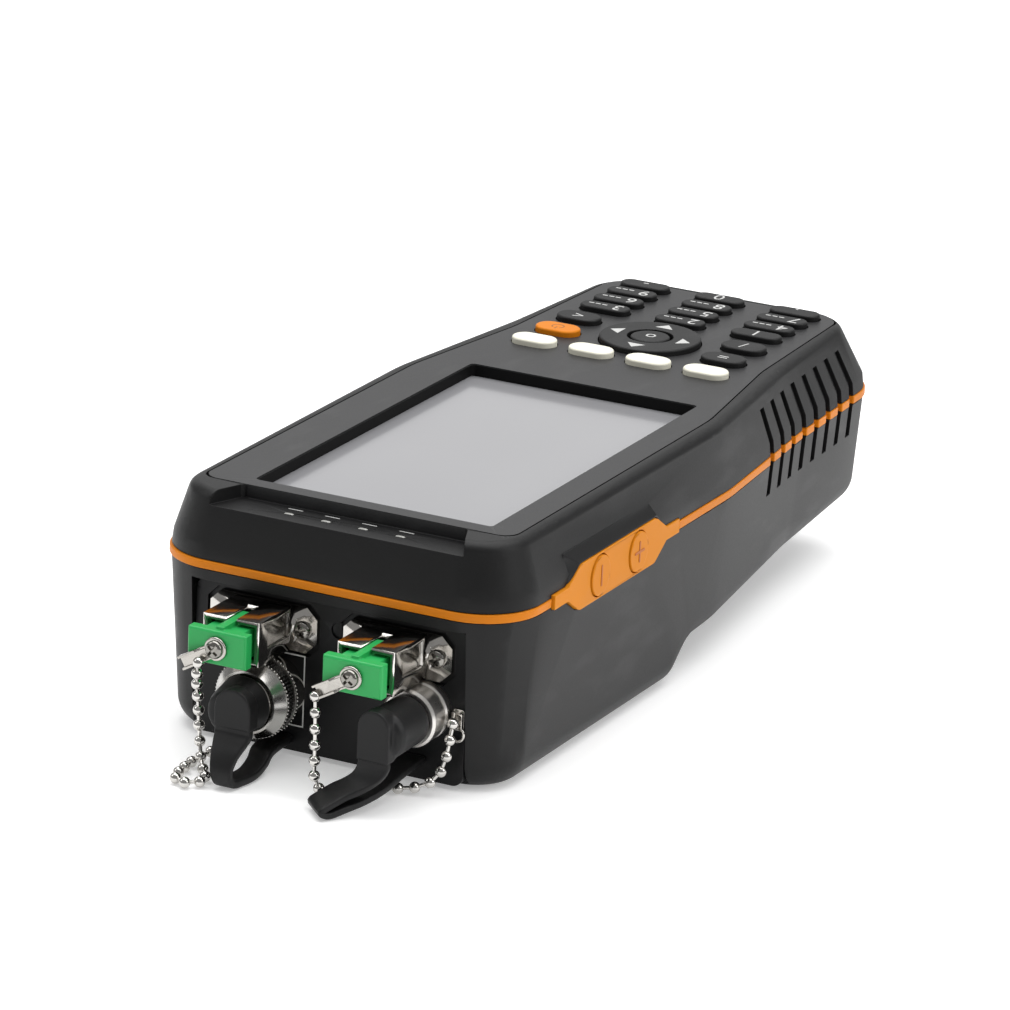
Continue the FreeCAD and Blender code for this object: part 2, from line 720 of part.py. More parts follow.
def key_holes(low, high):
    """Holes in the face plate for all the keys."""
    grow = 2 * KEY_CLEAR
    holes = []
    for centre in soft_key_places():
        holes.append(rounded_slot(SOFT_KEY_LENGTH + grow, SOFT_KEY_WIDTH + grow, low, high, centre))
    for centre in column_key_places().values():
        holes.append(rounded_slot(COLUMN_KEY_LENGTH + grow, COLUMN_KEY_WIDTH + grow, low, high, centre))
    for centre in number_key_places().values():
        holes.append(rounded_slot(NUMBER_KEY_LENGTH + grow, NUMBER_KEY_WIDTH + grow, low, high, centre))
    holes.append(Part.makeCylinder(NAV_RADIUS + KEY_CLEAR, high - low, V(0, NAV_Y, low)))
    return holes


def screen_block(margin, low, high):
    """Block over the display window, grown by a margin on each side."""
    centre = (SCREEN_X, SCREEN_NEAR_Y + SCREEN_LENGTH / 2)
    width = SCREEN_WIDTH + 2 * margin
    length = SCREEN_LENGTH + 2 * margin
    return rounded_block(width, length, SCREEN_RADIUS, low, high, centre)


def make_face_plate():
    """Flush plate with the display window and the key holes."""
    plate = prism(mirrored(plate_outline()), PLATE_LOW, TOP_Z)
    plate = plate.cut(screen_block(0.0, PLATE_LOW, TOP_Z))
    return plate.cut(key_holes(PLATE_LOW, TOP_Z))


def ledge_cut():
    """Lamp ledge: a shallow step in front of the face plate, narrower at the back."""
    back_y = PLATE_NEAR_Y - SEAM_GAP
    corners = [
        (-LEDGE_HALF_FRONT - LEDGE_DROP, -LEDGE_DROP, 0),
        (LEDGE_HALF_FRONT + LEDGE_DROP, -LEDGE_DROP, 0),
        (LEDGE_HALF_BACK, back_y, LEDGE_RADIUS),
        (-LEDGE_HALF_BACK, back_y, LEDGE_RADIUS),
    ]
    return prism(corners, LEDGE_Z, TOP_Z + LEDGE_DROP)


def lamp_places():
    """Centres of the lamp windows on the ledge."""
    start = -LAMP_PITCH * (LAMP_COUNT - 1) / 2
    return [(start + i * LAMP_PITCH, LAMP_Y) for i in range(LAMP_COUNT)]


def boss_pillars(radius, low, high):
    """Screw bosses between two heights."""
    return [Part.makeCylinder(radius, high - low, V(x, y, low)) for x, y in SCREW_PLACES]


def screw_bores(low, high):
    """Clearance bores for the case screws."""
    radius = SCREW_RADIUS + SCREW_CLEAR
    return [Part.makeCylinder(radius, high - low, V(x, y, low)) for x, y in SCREW_PLACES]


def make_upper_shell():
    """Upper shell: sloped skirt, rounded top edge, deck for the face plate, bosses for the screws."""
    outer_heights = [BAND_TOP, FACET_TOP, TOP_Z]
    shell = casing_loft(outer_heights, 0.0)
    shell = shell.makeFillet(TOP_ROUND, top_edges(shell, TOP_Z))
    cavity = casing_loft([BAND_TOP, FACET_TOP, DECK_LOW], WALL)
    pillars = [p.common(cavity) for p in boss_pillars(BOSS_RADIUS, BOARD_TOP, DECK_LOW)]
    shell = shell.cut(cavity).cut(ledge_cut()).fuse(make_hood())
    plate_hole = inset_corners(mirrored(plate_outline()), -SEAM_GAP)
    shell = shell.cut(prism(plate_hole, PLATE_LOW, TOP_Z + LEDGE_DROP))
    shell = shell.cut(prism(inset_corners(plate_hole, DECK_LEDGE), DECK_LOW, TOP_Z))
    shell = shell.fuse(pillars)
    shell = shell.cut(screw_bores(BOARD_LOW, BOARD_TOP + SCREW_GRIP))
    shell = shell.cut(groove_cuts(outer_heights))
    shell = shell.cut(pad_prism(PAD_CLEAR, PAD_BACK_X - WALL, PAD_FACE_X + WALL))
    windows = [rounded_slot(LAMP_LENGTH, LAMP_WIDTH, LEDGE_Z - LAMP_DEPTH, TOP_Z, c) for c in lamp_places()]
    return shell.cut(windows)


def make_lower_shell():
    """Lower shell: drafted walls, stepped underside, bosses, panel opening and socket slot."""
    outer_heights = [0.0, BAND_LOW]
    shell = casing_loft(outer_heights, 0.0).cut(underside_cut(0.0))
    shell = round_underside(shell)
    cavity = casing_loft([0.0, BAND_LOW], WALL).cut(underside_cut(WALL))
    pillars = [p.common(cavity) for p in boss_pillars(LOWER_BOSS_RADIUS, 0.0, BOARD_LOW)]
    shell = shell.cut(cavity)
    opening = block(0.0, PANEL_TOP_Z / 2, 2 * (PANEL_HALF + PANEL_CLEAR), PANEL_TOP_Z + 2 * PANEL_CLEAR,
                    -LENGTH, PANEL_BACK_Y)
    shell = shell.cut(opening).fuse(pillars)
    shell = shell.cut(screw_bores(-TOP_Z, BOARD_LOW)).cut(screw_sinks())
    shell = shell.cut(groove_cuts(outer_heights))
    shell = shell.cut(pad_prism(PAD_CLEAR, PAD_BACK_X - WALL, PAD_FACE_X + WALL))
    slot = block(0.0, socket_z(), SOCKET_WIDTH + 2 * SOCKET_CLEAR, SOCKET_HEIGHT + 2 * SOCKET_CLEAR,
                 LENGTH - 2 * WALL - BASE_INSET, FAR)
    return shell.cut(slot)


def round_underside(shell):
    """Round the edge between the walls and the underside."""
    edges = []
    for edge in shell.Edges:
        box = edge.BoundBox
        along_wall = box.ZMax < BAND_LOW - 1 and box.ZMax - box.ZMin < GRIP_RISE_END
        across = box.XLength > 1.8 * GRIP_HALF_END - FAR_RADIUS and HEEL_Y - RAMP_RADIUS < box.YMin
        across = across and box.YMax < LENGTH - FAR_RADIUS
        upright = box.ZMax > BAND_LOW - 1
        if along_wall and not across and not upright:
            edges.append(edge)
    return shell.makeFillet(BASE_ROUND, edges)


def underside_z(y):
    """Height of the outside of the underside at a station."""
    ramp_y = HEEL_Y + RAMP_LENGTH
    if y <= HEEL_Y:
        return 0.0
    if y <= ramp_y:
        return RAMP_RISE * (y - HEEL_Y) / RAMP_LENGTH
    return RAMP_RISE + (GRIP_RISE_END - RAMP_RISE) * (y - ramp_y) / (LENGTH - ramp_y)


def screw_sinks():
    """Counterbores in the underside for the screw heads."""
    sinks = []
    for x, y in SCREW_PLACES:
        depth = underside_z(y) + SCREW_SUNK
        sinks.append(Part.makeCylinder(SCREW_HEAD_RADIUS + SCREW_CLEAR, depth + TOP_Z, V(x, y, -TOP_Z)))
    return sinks


def make_case_screws():
    """Screws that clamp the two shells through the main board."""
    screws = []
    for x, y in SCREW_PLACES:
        seat = underside_z(y) + SCREW_SUNK
        head = Part.makeCylinder(SCREW_HEAD_RADIUS, SCREW_HEAD_HEIGHT, V(x, y, seat - SCREW_HEAD_HEIGHT))
        shank = Part.makeCylinder(SCREW_RADIUS, BOARD_TOP + SCREW_GRIP - seat, V(x, y, seat))
        screws.append(head.fuse(shank).removeSplitter())
    return Part.makeCompound(screws)


def make_seam_band():
    """Orange band between the shells, notched by the grip grooves and broken by the side pad."""
    outline = mirrored(band_outline())
    band = prism(inset_corners(outline, -BAND_PROUD), BAND_LOW, BAND_TOP)
    band = band.cut(prism(inset_corners(outline, WALL), BAND_LOW, BAND_TOP))
    band = band.cut(groove_cuts([BAND_LOW, BAND_TOP]))
    return band.cut(pad_prism(PAD_CLEAR, PAD_BACK_X - WALL, PAD_FACE_X + WALL))


def side_key_solid(y, grow, low_x, high_x):
    """Oval along X for a side key or its hole."""
    width = SIDE_KEY_WIDTH + 2 * grow
    height = SIDE_KEY_HEIGHT + 2 * grow
    oval = rounded_slot(height, width, 0.0, high_x - low_x, (0.0, 0.0))
    turn = FreeCAD.Placement(V(low_x, y, BAND_Z), FreeCAD.Rotation(V(0, 0, 1), V(1, 0, 0)))
    oval.Placement = turn
    return oval


def make_side_pad():
    """Orange pad with holes for its two keys."""
    pad = pad_prism(0.0, PAD_BACK_X, PAD_FACE_X)
    low_x = PAD_BACK_X - OVERCUT
    high_x = PAD_FACE_X + OVERCUT
    holes = [side_key_solid(y, KEY_CLEAR, low_x, high_x) for y in (MINUS_KEY_Y, PLUS_KEY_Y)]
    return pad.cut(holes)


def make_side_key(y):
    """Side key: oval through the pad with a flange behind it."""
    flange_x = PAD_BACK_X - KEY_FLANGE_GAP
    cap = side_key_solid(y, 0.0, flange_x - KEY_FLANGE_THICK, PAD_FACE_X + SIDE_KEY_PROUD)
    flange = side_key_solid(y, SIDE_KEY_FLANGE, flange_x - KEY_FLANGE_THICK, flange_x)
    return cap.fuse(flange).removeSplitter()


def make_dome_switches():
    """Domes under the face keys, and the two side switches on the main board's edge."""
    switches = []
    for x, y in dome_places():
        switches.append(Part.makeCone(DOME_RADIUS, DOME_RADIUS / 2, DOME_HEIGHT, V(x, y, KEYPAD_BOARD_TOP)))
    face_x = PAD_BACK_X - KEY_FLANGE_GAP - KEY_FLANGE_THICK - SIDE_KEY_GAP
    for y in (MINUS_KEY_Y, PLUS_KEY_Y):
        corner = V(face_x - SIDE_SWITCH_DEPTH, y - SIDE_SWITCH_WIDTH / 2, BOARD_TOP)
        height = BAND_Z + SIDE_SWITCH_DEPTH - BOARD_TOP
        switches.append(Part.makeBox(SIDE_SWITCH_DEPTH, SIDE_SWITCH_WIDTH, height, corner))
    return Part.makeCompound(switches)


def make_keypad_board():
    """Board under the keypad, cut round the screw bosses."""
    outline = casing_outline(KEYPAD_BOARD_TOP, WALL + BOARD_CLEAR)
    board = prism(outline, KEYPAD_BOARD_LOW, KEYPAD_BOARD_TOP)
    board = board.cut(Part.makeBox(FAR, FAR, TOP_Z, V(-FAR / 2, KEYPAD_BOARD_NEAR_Y - FAR, 0)))
    far_y = NUMBER_FIRST_Y + (NUMBER_ROWS - 1) * NUMBER_ROW_PITCH + KEYPAD_BOARD_MARGIN
    board = board.cut(Part.makeBox(FAR, FAR, TOP_Z, V(-FAR / 2, far_y, 0)))
    holes = [Part.makeCylinder(BOSS_RADIUS + BOARD_CLEAR, TOP_Z, V(x, y, 0)) for x, y in SCREW_PLACES]
    return board.cut(holes)


def make_main_board():
    """Main board that lies on the lower bosses."""
    outline = casing_outline(BOARD_LOW, WALL + BOARD_CLEAR)
    board = prism(outline, BOARD_LOW, BOARD_TOP)
    near = FLANGE_Y + FLANGE_THICK + ADAPTER_BACK + BOARD_CLEAR
    notch_half = PANEL_HALF + BOARD_CLEAR
    board = board.cut(Part.makeBox(2 * notch_half, FAR, TOP_Z, V(-notch_half, near - FAR, 0)))
    return board.cut(screw_bores(0.0, TOP_Z))


def make_display_module():
    """Display module under the lens."""
    centre = (SCREEN_X, SCREEN_NEAR_Y + SCREEN_LENGTH / 2)
    high = PLATE_LOW - LENS_THICK
    return rounded_block(MODULE_WIDTH, MODULE_LENGTH, SCREEN_RADIUS, high - MODULE_THICK, high, centre)


def make_panel():
    """Connector panel with a pocket and a window for each adapter and a hole for each port."""
    corners = [
        (-PANEL_HALF, PANEL_LOW_Z, PANEL_RADIUS),
        (PANEL_HALF, PANEL_LOW_Z, PANEL_RADIUS),
        (PANEL_HALF, PANEL_TOP_Z, PANEL_RADIUS),
        (-PANEL_HALF, PANEL_TOP_Z, PANEL_RADIUS),
    ]
    wire = rounded_wire(corners, lambda u, v: V(u, PANEL_FRONT_Y, v))
    panel = Part.Face(wire).extrude(V(0, PANEL_THICK, 0))
    for x in (-ADAPTER_X, ADAPTER_X):
        pocket = adapter_flange_prism(x, POCKET_MARGIN, -LENGTH, POCKET_Y)
        window_width = ADAPTER_WIDTH + 2 * PANEL_CLEAR
        window_height = ADAPTER_HEIGHT + 2 * PANEL_CLEAR
        window = block(x, ADAPTER_Z, window_width, window_height, 0, LENGTH)
        holes = [rod(ADAPTER_SCREW_RADIUS, 0, LENGTH, sx, ADAPTER_Z) for sx in adapter_screw_xs(x)]
        panel = panel.cut([pocket, window] + holes)
    opm = rod(OPM_NOSE_RADIUS + PANEL_CLEAR, 0, LENGTH, OPM_X, OPM_Z)
    vfl = rod(VFL_TIP_RADIUS + PANEL_CLEAR, 0, LENGTH, VFL_X, VFL_Z)
    dimple = rod(DIMPLE_RADIUS, 0, PANEL_FRONT_Y + DIMPLE_DEPTH, DIMPLE_X, DIMPLE_Z)
    return panel.cut([opm, vfl, dimple])


def adapter_screw_xs(x):
    """X places of the two screws of an adapter."""
    return [x - SCREW_SPACING / 2, x + SCREW_SPACING / 2]


def adapter_flange_prism(x, grow, near_y, far_y):
    """Flange with chamfered corners, grown by a margin."""
    half = FLANGE_WIDTH / 2 + grow
    high = FLANGE_HEIGHT / 2 + grow
    cut = FLANGE_CHAMFER
    points = [(half - cut, -high), (half, cut - high), (half, high - cut), (half - cut, high)]
    points += [(-u, v) for u, v in reversed(points)]
    wire = rounded_wire([(x + u, ADAPTER_Z + v, 0) for u, v in points], lambda u, v: V(u, near_y, v))
    return Part.Face(wire).extrude(V(0, far_y - near_y, 0))


def make_adapter(x):
    """Square adapter: open tube with a keyway, a flange and a divider that holds the sleeve."""
    back_y = FLANGE_Y + FLANGE_THICK + ADAPTER_BACK
    tube = block(x, ADAPTER_Z, ADAPTER_WIDTH, ADAPTER_HEIGHT, RIM_Y, back_y)
    body = tube.fuse(adapter_flange_prism(x, 0.0, FLANGE_Y, POCKET_Y)).removeSplitter()
    inner_width = ADAPTER_WIDTH - 2 * ADAPTER_WALL
    inner_height = ADAPTER_HEIGHT - 2 * ADAPTER_WALL
    divider_y = FLANGE_Y + FLANGE_THICK
    front = block(x, ADAPTER_Z, inner_width, inner_height, RIM_Y - OVERCUT, divider_y)
    rear = block(x, ADAPTER_Z, inner_width, inner_height, divider_y + DIVIDER_THICK, back_y + OVERCUT)
    keyway_z = ADAPTER_Z + ADAPTER_HEIGHT / 2
    keyway_height = 2 * ADAPTER_WALL + OVERCUT
    keyway = block(x, keyway_z, KEYWAY_WIDTH, keyway_height, RIM_Y - OVERCUT, RIM_Y + KEYWAY_LENGTH)
    sleeve_hole = rod(SLEEVE_RADIUS + SLEEVE_CLEAR, RIM_Y, back_y, x, ADAPTER_Z)
    screw_radius = ADAPTER_SCREW_RADIUS + SCREW_CLEAR
    screw_holes = [rod(screw_radius, RIM_Y, back_y, sx, ADAPTER_Z) for sx in adapter_screw_xs(x)]
    return body.cut([front, rear, keyway, sleeve_hole] + screw_holes + side_recesses(x))


def side_recesses(x):
    """Shallow rectangular recesses in the outer sides of an adapter's tube."""
    near_y = RIM_Y + SIDE_RECESS_FRONT
    recesses = []
    for side in (-1, 1):
        side_x = x + side * ADAPTER_WIDTH / 2
        recesses.append(block(side_x, ADAPTER_Z + SIDE_RECESS_RISE, 2 * SIDE_RECESS_DEPTH, SIDE_RECESS_HEIGHT,
                              near_y, near_y + SIDE_RECESS_LENGTH))
    return recesses


def make_sleeves():
    """Alignment sleeves held in the adapters' dividers."""
    middle = FLANGE_Y + FLANGE_THICK + DIVIDER_THICK / 2
    sleeves = []
    for x in (-ADAPTER_X, ADAPTER_X):
        outer = rod(SLEEVE_RADIUS, middle - SLEEVE_LENGTH / 2, middle + SLEEVE_LENGTH / 2, x, ADAPTER_Z)
        sleeves.append(outer.cut(rod(SLEEVE_BORE, -LENGTH, LENGTH, x, ADAPTER_Z)))
    return Part.makeCompound(sleeves)


def make_adapter_screws():
    """Four screws that hold the adapters to the panel."""
    screws = []
    for x in (-ADAPTER_X, ADAPTER_X):
        for sx in adapter_screw_xs(x):
            head = rod(ADAPTER_SCREW_HEAD, FLANGE_Y - ADAPTER_SCREW_HEAD_HEIGHT, FLANGE_Y, sx, ADAPTER_Z)
            shank = rod(ADAPTER_SCREW_RADIUS, FLANGE_Y, FLANGE_Y + ADAPTER_SCREW_LENGTH, sx, ADAPTER_Z)
            screws.append(head.fuse(shank).removeSplitter())
    return Part.makeCompound(screws)


PLUG_FACE_Y = RIM_Y - PLUG_CLEAR - PLUG_HEAD_LENGTH


def make_plug(x):
    """Dust plug: plate, neck, insert and key rib, with a hole for the tab's screw."""
    plate_back = PLUG_FACE_Y + PLUG_PLATE
    far_y = RIM_Y + PLUG_INSERT
    plate = block(x, ADAPTER_Z, PLUG_HEAD_WIDTH, PLUG_HEAD_HEIGHT, PLUG_FACE_Y, plate_back)
    front = [e for e in plate.Edges if abs(e.BoundBox.YMax - PLUG_FACE_Y) < EDGE_TOLERANCE]
    plate = plate.makeFillet(PLUG_ROUND, front)
    neck = block(x, ADAPTER_Z, PLUG_NECK_WIDTH, PLUG_NECK_HEIGHT, plate_back, far_y)
    insert = block(x, ADAPTER_Z, ADAPTER_WIDTH - 2 * (ADAPTER_WALL + PLUG_CLEAR),
                   ADAPTER_HEIGHT - 2 * (ADAPTER_WALL + PLUG_CLEAR), RIM_Y + PLUG_NECK_INSIDE, far_y)
    rib_low = ADAPTER_Z + PLUG_NECK_HEIGHT / 2 - PLUG_RIB_HEIGHT
    rib_high = ADAPTER_Z + ADAPTER_HEIGHT / 2 - PLUG_RIB_DROP
    rib_width = KEYWAY_WIDTH - 2 * PLUG_CLEAR
    rib_front = PLUG_FACE_Y + PLUG_PLATE / 2
    rib_corner = V(x - rib_width / 2, rib_front, rib_low)
    rib = Part.makeBox(rib_width, far_y - rib_front, rib_high - rib_low, rib_corner)
    hole_radius = TAB_SCREW_RADIUS + SLEEVE_CLEAR
    hole = rod(hole_radius, PLUG_FACE_Y - OVERCUT, PLUG_FACE_Y + TAB_SCREW_LENGTH, x, ADAPTER_Z)
    return plate.fuse([neck, insert, rib]).removeSplitter().cut(hole)


def make_tab(x):
    """Steel tab with folded lips on a plug, turned down to the side, with the screw that holds it."""
    ring = Part.makeCylinder(TAB_RADIUS, TAB_THICK, V(0, 0, 0), V(0, -1, 0))
    arm = Part.makeBox(TAB_LENGTH, TAB_THICK, TAB_WIDTH, V(-TAB_LENGTH, -TAB_THICK, -TAB_WIDTH / 2))
    eye = Part.makeCylinder(TAB_WIDTH / 4, TAB_THICK, V(TAB_WIDTH / 2 - TAB_LENGTH, 0, 0), V(0, -1, 0))
    hole = Part.makeCylinder(TAB_SCREW_RADIUS + SLEEVE_CLEAR, TAB_THICK, V(0, 0, 0), V(0, -1, 0))
    lips = []
    for low in (-TAB_WIDTH / 2, TAB_WIDTH / 2 - TAB_LIP_THICK):
        corner = V(-TAB_LENGTH, -TAB_THICK - TAB_LIP_HEIGHT, low)
        lips.append(Part.makeBox(TAB_LIP_LENGTH, TAB_LIP_HEIGHT, TAB_LIP_THICK, corner))
    tab = ring.fuse([arm] + lips).removeSplitter().cut([eye, hole])
    place = V(x, PLUG_FACE_Y, ADAPTER_Z)
    tab.Placement = FreeCAD.Placement(place, FreeCAD.Rotation(V(0, 1, 0), -TAB_TILT))
    head_y = PLUG_FACE_Y - TAB_THICK
    head = rod(TAB_SCREW_HEAD, head_y - TAB_SCREW_HEIGHT, head_y, x, ADAPTER_Z)
    shank = rod(TAB_SCREW_RADIUS, head_y, head_y + TAB_SCREW_LENGTH, x, ADAPTER_Z)
    return Part.makeCompound([tab, head.fuse(shank).removeSplitter()])


RING_BACK_Y = PANEL_FRONT_Y - RING_BACK_GAP
RING_FRONT_Y = RING_BACK_Y - RING_KNURL_LENGTH - RING_CONE_LENGTH
OPM_NOSE_Y = PANEL_FRONT_Y - OPM_NOSE_REACH
OPM_TIP_Y = PANEL_FRONT_Y - OPM_TIP_REACH
OPM_CAP_BACK_Y = min(RING_FRONT_Y, OPM_NOSE_Y) - CAP_GAP
OPM_CAP_FRONT_Y = OPM_CAP_BACK_Y - OPM_CAP_LENGTH
TONGUE_X = OPM_X + TONGUE_SHIFT
VFL_FRONT_Y = PANEL_FRONT_Y - VFL_REACH
VFL_TIP_Y = PANEL_FRONT_Y - VFL_TIP_REACH
VFL_CAP_BACK_Y = VFL_FRONT_Y - CAP_GAP
VFL_CAP_FRONT_Y = VFL_CAP_BACK_Y - VFL_CAP_LENGTH
TONGUE_LOW_Z = OPM_Z - TONGUE_DROP
VFL_TONGUE_X = VFL_X + VFL_TONGUE_SHIFT
VFL_TONGUE_LOW_Z = VFL_Z - VFL_TONGUE_DROP


def make_opm_port():
    """Fixed nose of the power meter port with its collar, nut and a bore for the ferrule."""
    nose = rod(OPM_NOSE_RADIUS, OPM_NOSE_Y, PANEL_BACK_Y, OPM_X, OPM_Z)
    tip = rod(OPM_TIP_RADIUS, OPM_TIP_Y, OPM_NOSE_Y, OPM_X, OPM_Z)
    nut = rod(OPM_NUT_RADIUS, PANEL_BACK_Y, PANEL_BACK_Y + PORT_NUT_THICK, OPM_X, OPM_Z)
    collar = rod(OPM_COLLAR_RADIUS, RING_BACK_Y + OPM_COLLAR_GAP, PANEL_FRONT_Y, OPM_X, OPM_Z)
    body = nose.fuse([tip, nut, collar]).removeSplitter()
    return body.cut(rod(SLEEVE_BORE, -LENGTH, LENGTH, OPM_X, OPM_Z))


def make_ring():
    """Knurled ring of the power meter port: straight grip at the back, cone at the front."""
    grip_y = RING_BACK_Y - RING_KNURL_LENGTH
    grip = rod(RING_RADIUS, grip_y, RING_BACK_Y, OPM_X, OPM_Z)
    nose = cone(RING_CONE_RADIUS, RING_RADIUS, RING_FRONT_Y, grip_y, OPM_X, OPM_Z)
    bore = rod(OPM_NOSE_RADIUS + RING_CLEAR, RING_FRONT_Y - OVERCUT, RING_BACK_Y + OVERCUT, OPM_X, OPM_Z)
    return grip.fuse(nose).removeSplitter().cut(bore)


def tongue_solid(x, low, top, width, front_y):
    """Upright tongue with a round crown in front of a cap."""
    middle = top - width / 2
    plate = Part.makeBox(width, TONGUE_THICK, middle - low, V(x - width / 2, front_y - TONGUE_THICK, low))
    return plate.fuse(rod(width / 2, front_y - TONGUE_THICK, front_y, x, middle)).removeSplitter()


def make_opm_cap():
    """Rubber cap of the power meter port, ending in the tongue that carries the strap."""
    skirt = cone(OPM_CAP_TIP_RADIUS, OPM_CAP_RADIUS, OPM_CAP_FRONT_Y, OPM_CAP_BACK_Y, OPM_X, OPM_Z)
    top = OPM_Z + 3 * TONGUE_WIDTH / 4
    tongue = tongue_solid(TONGUE_X, TONGUE_LOW_Z, top, TONGUE_WIDTH, OPM_CAP_FRONT_Y)
    bore = rod(OPM_TIP_RADIUS + CAP_CLEAR, OPM_TIP_Y - CAP_GAP, LENGTH, OPM_X, OPM_Z)
    return skirt.fuse(tongue).removeSplitter().cut(bore)


def make_vfl_port():
    """Fixed barrel of the fault locator port with its tip, nut and bore."""
    barrel = rod(VFL_RADIUS, VFL_FRONT_Y, PANEL_FRONT_Y, VFL_X, VFL_Z)
    front = [e for e in barrel.Edges if abs(e.BoundBox.YMax - VFL_FRONT_Y) < EDGE_TOLERANCE]
    barrel = barrel.makeFillet(VFL_RADIUS / 8, front)
    tip = rod(VFL_TIP_RADIUS, VFL_TIP_Y, PANEL_BACK_Y, VFL_X, VFL_Z)
    nut = rod(VFL_NUT_RADIUS, PANEL_BACK_Y, PANEL_BACK_Y + PORT_NUT_THICK, VFL_X, VFL_Z)
    body = barrel.fuse([tip, nut]).removeSplitter()
    return body.cut(rod(SLEEVE_BORE, -LENGTH, LENGTH, VFL_X, VFL_Z))


def make_vfl_cap():
    """Rubber cap of the fault locator port, ending in the tongue that carries the strap."""
    body = rod(VFL_CAP_RADIUS, VFL_CAP_FRONT_Y, VFL_CAP_BACK_Y, VFL_X, VFL_Z)
    top = VFL_Z + VFL_TONGUE_CROWN + VFL_TONGUE_WIDTH / 2
    tongue = tongue_solid(VFL_TONGUE_X, VFL_TONGUE_LOW_Z, top, VFL_TONGUE_WIDTH, VFL_CAP_FRONT_Y)
    bore = rod(VFL_TIP_RADIUS + CAP_CLEAR, VFL_TIP_Y - CAP_GAP, LENGTH, VFL_X, VFL_Z)
    return body.fuse(tongue).removeSplitter().cut(bore)


def strap_section(stations, place, thick):
    """Corners of the strap's cross-section at one of its stations, with the width kept level."""
    x, y, z, turn, width = stations[place]
    before = V(*stations[max(place - 1, 0)][:3])
    after = V(*stations[min(place + 1, len(stations) - 1)][:3])
    across = V(math.cos(math.radians(turn)), math.sin(math.radians(turn)), 0)
    normal = (after - before).cross(across).normalize() * (thick / 2)
    across = across * (width / 2)
    middle = V(x, y, z)
    return [
        middle - across - normal,
        middle + across - normal,
        middle + across + normal,
        middle - across + normal,
    ]


def flat_face(corners):
    """Plane face through its corners."""
    return Part.Face(Part.makePolygon(corners + corners[:1]))


def strap_solid(stations, thick):
    """Flat strap of plane facets through cross-sections (x, y, z, turn of the width about Z, width)."""
    sections = [strap_section(stations, place, thick) for place in range(len(stations))]
    faces = [flat_face(sections[0]), flat_face(sections[-1])]
    for near, far in zip(sections, sections[1:]):
        for k, corner in enumerate(near):
            following = (k + 1) % len(near)
            faces.append(flat_face([corner, near[following], far[following]]))
            faces.append(flat_face([corner, far[following], far[k]]))
    shell = Part.makeShell(faces)
    shell.sewShape()
    solid = Part.Solid(shell)
    if solid.Volume < 0:
        solid.reverse()
    return solid


def make_opm_strap():
    """Strap from the tongue of the power meter cap down to a loop on the surface and back under the ring."""
    y = OPM_CAP_FRONT_Y - TONGUE_THICK / 2
    stations = [(TONGUE_X, y, TONGUE_LOW_Z - STRAP_GAP, 0.0, TONGUE_WIDTH)]
    stations += [(TONGUE_X + dx, y + dy, z, turn, width) for dx, dy, z, turn, width in OPM_STRAP_ROUTE]
    for gap in (OPM_STRAP_THICK, STRAP_GAP):
        stations.append((TONGUE_X, PANEL_FRONT_Y - gap, OPM_STRAP_END_Z, 0.0, OPM_STRAP_END_WIDTH))
    return strap_solid(stations, OPM_STRAP_THICK)


def make_vfl_strap():
    """Strap from the fault locator cap's tongue, out to a fold on the surface and back to the panel."""
    y = VFL_CAP_FRONT_Y - TONGUE_THICK / 2
    stations = [(VFL_TONGUE_X, y, VFL_TONGUE_LOW_Z - STRAP_GAP, 0.0, VFL_TONGUE_WIDTH)]
    stations += [(VFL_TONGUE_X + dx, y + dy, z, turn, width) for dx, dy, z, turn, width in VFL_STRAP_ROUTE]
    for gap in (VFL_STRAP_THICK, STRAP_GAP):
        end_x = VFL_TONGUE_X + VFL_STRAP_END_X
        stations.append((end_x, PANEL_FRONT_Y - gap, VFL_STRAP_END_Z, 0.0, VFL_STRAP_END_WIDTH))
    return strap_solid(stations, VFL_STRAP_THICK)


def chain_path(points):
    """Straight runs joined by tangent arcs that are as large as the shorter run beside each point allows."""
    spots = [V(*p) for p in points]
    edges = []
    here = spots[0]
    radii = []
    for before, corner, after in zip(spots, spots[1:], spots[2:]):
        back = before - corner
        ahead = after - corner
        reach = BEND_SHARE * min(back.Length, ahead.Length)
        start = corner + V(back).normalize() * reach
        end = corner + V(ahead).normalize() * reach
        half = back.getAngle(ahead) / 2
        radius = reach * math.tan(half)
        inward = (V(back).normalize() + V(ahead).normalize()).normalize()
        middle = corner + inward * (radius / math.sin(half) - radius)
        edges.append(Part.LineSegment(here, start).toShape())
        edges.append(Part.Arc(start, middle, end).toShape())
        here = end
        radii.append(round(radius, 1))
    edges.append(Part.LineSegment(here, spots[-1]).toShape())
    return Part.Wire(edges), radii


def make_chain(name, points):
    """Plain tube along a chain's route."""
    path, radii = chain_path(points)
    first = path.OrderedEdges[0]
    heading = first.tangentAt(first.FirstParameter)
    ring = Part.Wire(Part.makeCircle(CHAIN_DIAMETER / 2, V(*points[0]), heading))
    tube = path.makePipeShell([ring], True, False)
    expected = math.pi * CHAIN_DIAMETER ** 2 / 4 * path.Length
    ratio = round(tube.Volume / expected, 4)
    print(name, "length", round(path.Length, 1), "radii", radii, "volume ratio", ratio)
    return tube


def make_anchors():
    """Steel anchors on the panel for the ends of the chains."""
    anchors = []
    for x, z in (LEFT_ANCHOR, RIGHT_ANCHOR):
        low_y = PANEL_FRONT_Y - ANCHOR_THICK
        anchors.append(block(x, z, ANCHOR_WIDTH, ANCHOR_HEIGHT, low_y, PANEL_FRONT_Y))
    return Part.makeCompound(anchors)


